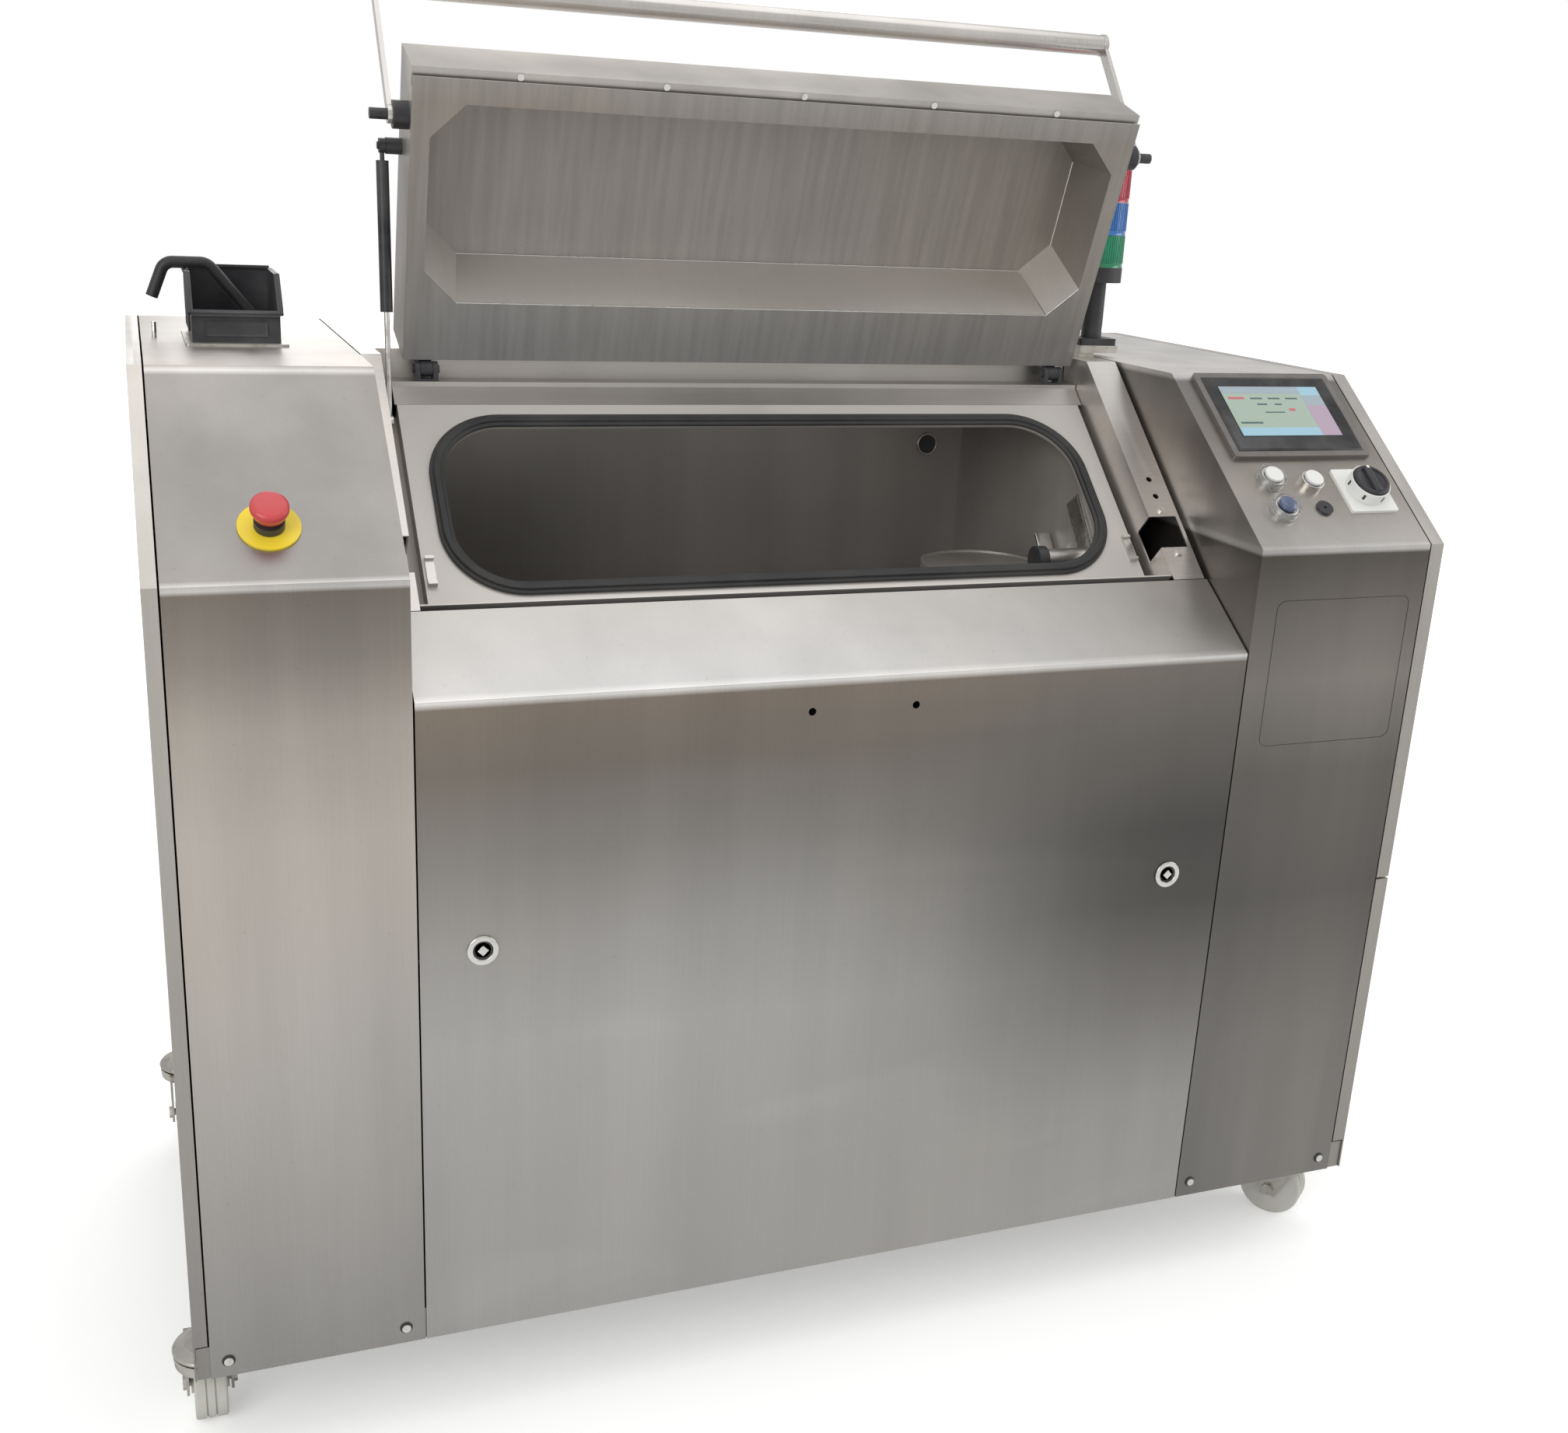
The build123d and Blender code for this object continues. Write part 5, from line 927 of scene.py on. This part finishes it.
def makeMainSwitch(spec):
    dial = startCylinder("switchDial", spec["radius"], spec["height"], (0, 0, spec["height"] / 2), sides=40)
    shapeFaces(dial, (0, 0, 1), (0.0012, 0.0), (0, 0, 0.0008), (0.004, 0.0), (0, 0, -0.0012))
    roundEdges(dial, 0.0007, 2)
    width, length, rise = spec["ridge"]
    ridge = startBlock("ridge", (width, length, rise), (0, 0, spec["height"] + rise / 2 - 0.001))
    editFaces(ridge, facesAlong((0, 0, 1)))
    bpy.ops.transform.resize(value=(0.62, 0.94, 1))
    endEdit()
    roundEdges(ridge, 0.0018, 3)
    stem = startCylinder("stem", spec["stem"], spec["stemLength"], (0, 0, -spec["stemLength"] / 2), sides=32)
    shapeFaces(stem, (0, 0, -1), (0.0008, 0.0004))
    place = onSlope(spec["x"], spec["along"], spec["base"])
    whole = joinPieces([dial, ridge, stem], "switchDial")
    standOn(whole, place, sideways, slopeOut)
    finishPiece(whole, "blackPlastic", "main_switch", replaced=("switch_knob",))
    pointer = startBlock("switchPointer", spec["pointer"], (0, length * 0.42, spec["height"] + rise - 0.0010))
    shapeFaces(pointer, (0, 0, 1), (0.0004, 0.0001))
    standOn(pointer, place, sideways, slopeOut)
    finishPiece(pointer, "whitePlastic", "main_switch")
    collarHeight = spec["collarTop"] - spec["plate"]
    collarCentre = (0, 0, spec["plate"] + collarHeight / 2)
    inner = spec["collar"] - spec["wall"]
    collar = startRing("switchCollar", spec["collar"], inner, collarHeight, collarCentre, 64)
    roundEdges(collar, 0.0006, 3, angle=40)
    standOn(collar, onSlope(spec["x"], spec["along"]), sideways, slopeOut)
    finishPiece(collar, "whitePlastic", "cabinet", smooth=50)
    slots = []
    for number in range(spec["slots"]):
        slot = startBlock("slot", spec["slot"])
        shapeFaces(slot, (0, 1, 0), (0.0003, -0.0002))
        moveMesh(slot, (0, spec["collar"] - spec["slot"][1] / 2 + 0.0004, spec["slotHeight"]))
        turn = math.radians(360 / spec["slots"] * number + spec["slotTurn"])
        slot.data.transform(Matrix.Rotation(turn, 4, "Z"))
        slots.append(slot)
    ring = joinPieces(slots, "switchSlots")
    standOn(ring, onSlope(spec["x"], spec["along"]), sideways, slopeOut)
    finishPiece(ring, "blackPlastic", "cabinet")


# push buttons: domed caps standing in chrome rings
buttonSpec = {
    "radius": 0.0118, "base": 0.0101, "height": 0.0028, "stemRadius": 0.0095, "stemLength": 0.0045,
    "caps": (
        ("upper_left", "button_a", 0.553, 0.110, "whitePlastic", "white_plastic", 0.0010),
        ("upper_right", "button_b", 0.609, 0.103, "whitePlastic", "white_plastic", 0.0008),
        ("lower_left", "button_c", 0.550, 0.061, "bluePlastic", "dark_blue_plastic", 0.0030),
    ),
    "ringOuter": 0.0151, "ringInner": 0.0126, "ringRise": 0.0022, "ringBase": 0.0069,
}


def makeButtons(spec):
    for spot, body, x, along, finish, slotName, dome in spec["caps"]:
        cap = startCylinder(
            "cap_" + spot, spec["radius"], spec["height"], (0, 0, spec["height"] / 2), sides=48
        )
        editFaces(cap, facesAlong((0, 0, 1)))
        for rise, share in ((0.45, 0.90), (0.32, 0.74), (0.16, 0.62), (0.07, 0.45)):
            push((0, 0, dome * rise))
            bpy.ops.transform.resize(value=(share, share, 1))
        endEdit()
        stem = startCylinder(
            "stem", spec["stemRadius"], spec["stemLength"], (0, 0, 0.0002 - spec["stemLength"] / 2), sides=32
        )
        shapeFaces(stem, (0, 0, -1), (0.0006, 0.0003))
        whole = joinPieces([cap, stem], "cap_" + spot)
        standOn(whole, onSlope(x, along, spec["base"]), sideways, slopeOut)
        finishPiece(whole, finish, body, smooth=50, replaced=("button_" + spot,))
        ringCentre = (0, 0, spec["ringRise"] / 2)
        ring = startRing(
            "capRing_" + spot, spec["ringOuter"], spec["ringInner"], spec["ringRise"], ringCentre
        )
        roundEdges(ring, 0.0006, 3, angle=40)
        standOn(ring, onSlope(x, along, spec["ringBase"]), sideways, slopeOut)
        finishPiece(ring, "bright", "cabinet", smooth=50)


# front locks: bright ring round a dark recess, a key post, and the stem with its tongue behind the cover
lockSpec = {
    "spots": (("left", -0.442), ("right", 0.412)), "z": 0.598, "ring": 0.0170, "recess": 0.0108,
    "thick": 0.0029,
    "post": 0.0064, "postRise": 0.0019,
    "stem": 0.0088, "stemLength": 0.018, "tongue": (0.014, 0.034, 0.003), "tongueShift": 0.010,
    "tongueBack": 0.0155,
}


def makeLocks(spec):
    outward = Vector((0, -1, 0))
    for side, x in spec["spots"]:
        place = (x, cabinet["frontY"], spec["z"])
        body = "lock_" + side
        ringCentre = (0, 0, spec["thick"] / 2)
        ring = startRing("lockRing_" + side, spec["ring"], spec["recess"], spec["thick"], ringCentre, 56)
        roundEdges(ring, 0.0010, 3, angle=40)
        standOn(ring, place, sideways, outward)
        finishPiece(ring, "bright", body, smooth=50, replaced=("lock_insert_" + side,))
        stem = startCylinder(
            "stem", spec["stem"], spec["stemLength"], (0, 0, 0.0006 - spec["stemLength"] / 2), sides=40
        )
        shapeFaces(stem, (0, 0, -1), (0.001, 0.0006))
        cup = startCylinder("cup", spec["recess"] + 0.0006, 0.0006, (0, 0, 0.0005), sides=48)
        shapeFaces(cup, (0, 0, 1), (0.002, -0.0002))
        tongue = startBlock("tongue", spec["tongue"], (0, spec["tongueShift"], -spec["tongueBack"]))
        roundEdges(tongue, 0.0012, 2)
        barrel = joinPieces([stem, cup, tongue], "lockBarrel_" + side)
        standOn(barrel, place, sideways, outward)
        finishPiece(barrel, "blackPlastic", body)
        post = startCylinder("lockPost_" + side, spec["post"], spec["postRise"], (0, 0, 0.0017), sides=4)
        shapeFaces(post, (0, 0, 1), (0.0009, 0.0002))
        roundEdges(post, 0.0007, 2)
        standOn(post, place, sideways, outward)
        finishPiece(post, "bright", body)


# tank fittings: a port with a turned ring in the rear wall, a dark disc in the port as painted shade of its
# opening, a strainer lid, and plates on the clamp
tankSpec = {
    "port": (0.345, 0.2308, 1.035), "portOuter": 0.0165, "portInner": 0.0135, "portRise": 0.003,
    "plateTurn": -38,
    "lid": (0.312, -0.040, 0.905), "lidRadius": 0.084, "lidThick": 0.022,
    "plates": (
        (0.3985, -0.1530, 0.9680, 0.006, 0.030, 0.120),
        (0.3850, -0.0880, 0.9300, 0.022, 0.004, 0.075),
    ),
}


def makeTankFittings(spec):
    inward = Vector((0, -1, 0))
    ring = startRing(
        "portRing", spec["portOuter"], spec["portInner"], spec["portRise"], (0, 0, spec["portRise"] / 2)
    )
    roundEdges(ring, 0.0006, 2, angle=40)
    standOn(ring, spec["port"], sideways, inward)
    finishPiece(ring, "smallParts", "cabinet", smooth=50)
    # a black disc fills the port opening: painted shade of the hole
    hole = startCylinder("portShadeDisc", spec["portInner"] + 0.0003, 0.001, (0, 0, 0.0005), sides=48)
    shapeFaces(hole, (0, 0, 1), (0.002, -0.0004))
    standOn(hole, spec["port"], sideways, inward)
    finishPiece(hole, "blackPlastic", "cabinet")
    strainer = startCylinder("strainerLid", spec["lidRadius"], spec["lidThick"], spec["lid"], sides=96)
    shapeFaces(strainer, (0, 0, 1), (0.004, 0.0), (0, 0, -0.003), (0.05, 0.0), (0, 0, 0.001))
    roundEdges(strainer, 0.0012, 3)
    finishPiece(strainer, "tank", "cabinet")
    plates = []
    for x, y, z, width, depth, height in spec["plates"]:
        plate = startBlock("plate", (width, depth, height))
        shapeFaces(plate, (-1, 0, 0), (0.003, -0.001))
        plate.data.transform(Matrix.Rotation(math.radians(spec["plateTurn"]), 4, "X"))
        moveMesh(plate, (x, y, z))
        plates.append(plate)
    frameOfClamp = joinPieces(plates, "clampPlates")
    roundEdges(frameOfClamp, 0.0008, 2)
    finishPiece(frameOfClamp, "bright", "cabinet")


# bright bars along the folds of the lid's dish: painted highlights on the fold edges
foldHighlightSpec = {
    "lean": 20.0, "foot": (-0.0101, 1.1772), "middle": -0.010, "half": 0.426, "low": 0.072, "cut": 0.038,
    "foldLow": 0.0996, "foldBack": 0.0796, "foldHalf": 0.4142, "foldHigh": 0.288, "radius": 0.0009,
}


def makeDishFoldHighlights(spec):
    lean = math.radians(spec["lean"])

    def onLid(x, up, back):
        y = spec["foot"][0] - up * math.sin(lean) + back * math.cos(lean)
        return Vector((spec["middle"] + x, y, spec["foot"][1] + up * math.cos(lean) + back * math.sin(lean)))

    half, low, cut = spec["half"], spec["low"], spec["cut"]
    foldHalf, foldLow, back = spec["foldHalf"], spec["foldLow"], spec["foldBack"]
    lines = (
        (onLid(-half + cut, low, 0.0009), onLid(half - cut, low, 0.0009)),
        (onLid(half - cut, low, 0.0009), onLid(half, low + cut, 0.0009)),
        (onLid(-foldHalf + cut, foldLow, back), onLid(foldHalf - cut, foldLow, back)),
        (onLid(foldHalf - cut, foldLow, back), onLid(half - cut, low, 0.001)),
        (onLid(foldHalf, foldLow + cut, back), onLid(foldHalf, spec["foldHigh"] - cut, back)),
    )
    bars = []
    for start, end in lines:
        bar = startCylinder(
            "bar", spec["radius"], (end - start).length, (start + end) / 2, end - start, sides=10
        )
        editFaces(bar, lambda face: len(face.vertices) > 4)
        inset(0.0003)
        endEdit()
        bars.append(bar)
    # the bright plated finish on the fold bars paints the highlight along each fold
    finishPiece(joinPieces(bars, "dishFoldHighlights"), "bright", "lid", smooth=60)


# casters: two-tier pressed cups in place of the flat plates, and a skirt round each fork's crown
casterSpec = {
    "spots": (
        ("front_left", -0.744, -0.335), ("front_right", 0.744, -0.335),
        ("rear_left", -0.744, 0.335), ("rear_right", 0.744, 0.335),
    ),
    "top": 0.1179, "radius": 0.0270,
    "tiers": ((0.0012, 1.0), (0.0026, 1.24), (0.0022, 1.13), (0.0026, 1.04), (0.0026, 0.93)),
    "pinEnd": 0.0965, "pinRadius": 0.0058, "skirt": 0.0372, "skirtTop": 0.1052, "skirtDrop": 0.013,
}


def makeCasterCups(spec):
    cups = []
    for name, x, y in spec["spots"]:
        first = spec["tiers"][0][0]
        cup = startCylinder("cup", spec["radius"], first, (x, y, spec["top"] - first / 2), sides=64)
        editFaces(cup, facesAlong((0, 0, -1)))
        for drop, share in spec["tiers"][1:]:
            push((0, 0, -drop))
            bpy.ops.transform.resize(value=(share, share, 1))
        endEdit()
        roundEdges(cup, 0.0010, 3, angle=15)
        pinLength = spec["top"] - spec["pinEnd"] - 0.004
        pin = startCylinder(
            "pin", spec["pinRadius"], pinLength, (x, y, spec["pinEnd"] + pinLength / 2), sides=32
        )
        shapeFaces(pin, (0, 0, -1), (0.001, 0.0006))
        cups += [cup, pin]
        skirt = startCylinder("skirt_" + name, spec["skirt"], spec["skirtDrop"], sides=64)
        moveMesh(skirt, (x, y, spec["skirtTop"] - spec["skirtDrop"] / 2))
        editFaces(skirt, lambda face: abs(face.normal.z) > 0.9)
        inset(0.0022)
        bpy.ops.mesh.bridge_edge_loops()
        endEdit()
        roundEdges(skirt, 0.0009, 3, angle=40)
        finishPiece(skirt, "zinc", "swivel_" + name, smooth=50)
    whole = joinPieces(cups, "casterCups")
    finishPiece(whole, "zinc", "cabinet", smooth=40, replaced=("caster_plates",))


# fine lines and small marks on the front: a scribed outline, and dark rings under the screws that are painted
# shadow round the screw heads
frontSpec = {
    "outline": (0.523, 0.720, 0.757, 0.943), "corner": 0.012, "sections": 8, "line": 0.0007, "thick": 0.00025,
    "screws": ((-0.724, 0.138), (-0.532, 0.138), (0.510, 0.139), (0.720, 0.139)), "screwShadowRing": 0.0072,
}


def makeFrontMarks(spec):
    outward = Vector((0, -1, 0))
    left, right, low, high = spec["outline"]
    outline = startOutline(
        "scribedOutline", right - left, high - low, spec["corner"], spec["sections"], spec["line"]
    )
    push((0, 0, spec["thick"]))
    bpy.ops.mesh.select_all(action="SELECT")
    bpy.ops.mesh.normals_make_consistent(inside=False)
    endEdit()
    standOn(outline, ((left + right) / 2, cabinet["frontY"], (low + high) / 2), sideways, outward)
    finishPiece(outline, "rubber", "cabinet")
    # dark rings round the screw heads: painted shadow, given the rubber finish
    rings = []
    for x, z in spec["screws"]:
        ring = startCylinder("ring", spec["screwShadowRing"], 0.0005, (0, 0, 0.00025), sides=32)
        shapeFaces(ring, (0, 0, 1), (0.001, 0.0002))
        standOn(ring, (x, cabinet["frontY"], z), sideways, outward)
        rings.append(ring)
    finishPiece(joinPieces(rings, "screwShadowRings"), "rubber", "cabinet")


# floor
def makeFloor():
    bpy.ops.object.select_all(action="DESELECT")
    bpy.ops.mesh.primitive_plane_add(size=30.0)
    floor = bpy.context.object
    floor.name = "floor"
    finish, tree, shader = newFinish("floorPaint")
    cloud = noise(tree, 0.9, detail=3.0)
    base = mixColours(tree, "MIX", cloud, (0.86, 0.86, 0.85), (0.90, 0.90, 0.89))
    link(tree, base, shader.inputs["Base Color"])
    shader.inputs["Roughness"].default_value = 0.7
    rays = tree.nodes.new("ShaderNodeLightPath")
    reach = tree.nodes.new("ShaderNodeVectorMath")
    reach.operation = "LENGTH"
    tree.links.new(coords(tree), reach.inputs[0])
    far = remap(tree, reach.outputs["Value"], 1.3, 4.2, 0.34, 1.0, smooth=True)
    glow = combine(tree, "MULTIPLY", rays.outputs["Is Camera Ray"], far)
    shader.inputs["Emission Color"].default_value = (1, 1, 1, 1)
    link(tree, glow, shader.inputs["Emission Strength"])
    floor.data.materials.append(finish)


makeFloor()
print("floor laid")
makeGasket(gasketSpec)
makeDisplay(displaySpec)
makeStopHead(stopSpec)
makeShrouds(shroudSpec)
makeSignalLight(lensSpec)
makeBinTrim(binSpec)
makeHookEye()
makeMainSwitch(switchSpec)
makeButtons(buttonSpec)
makeLocks(lockSpec)
makeCasterCups(casterSpec)
makeFrontMarks(frontSpec)
makeTankFittings(tankSpec)
makeDishFoldHighlights(foldHighlightSpec)
print("console and deck pieces made")
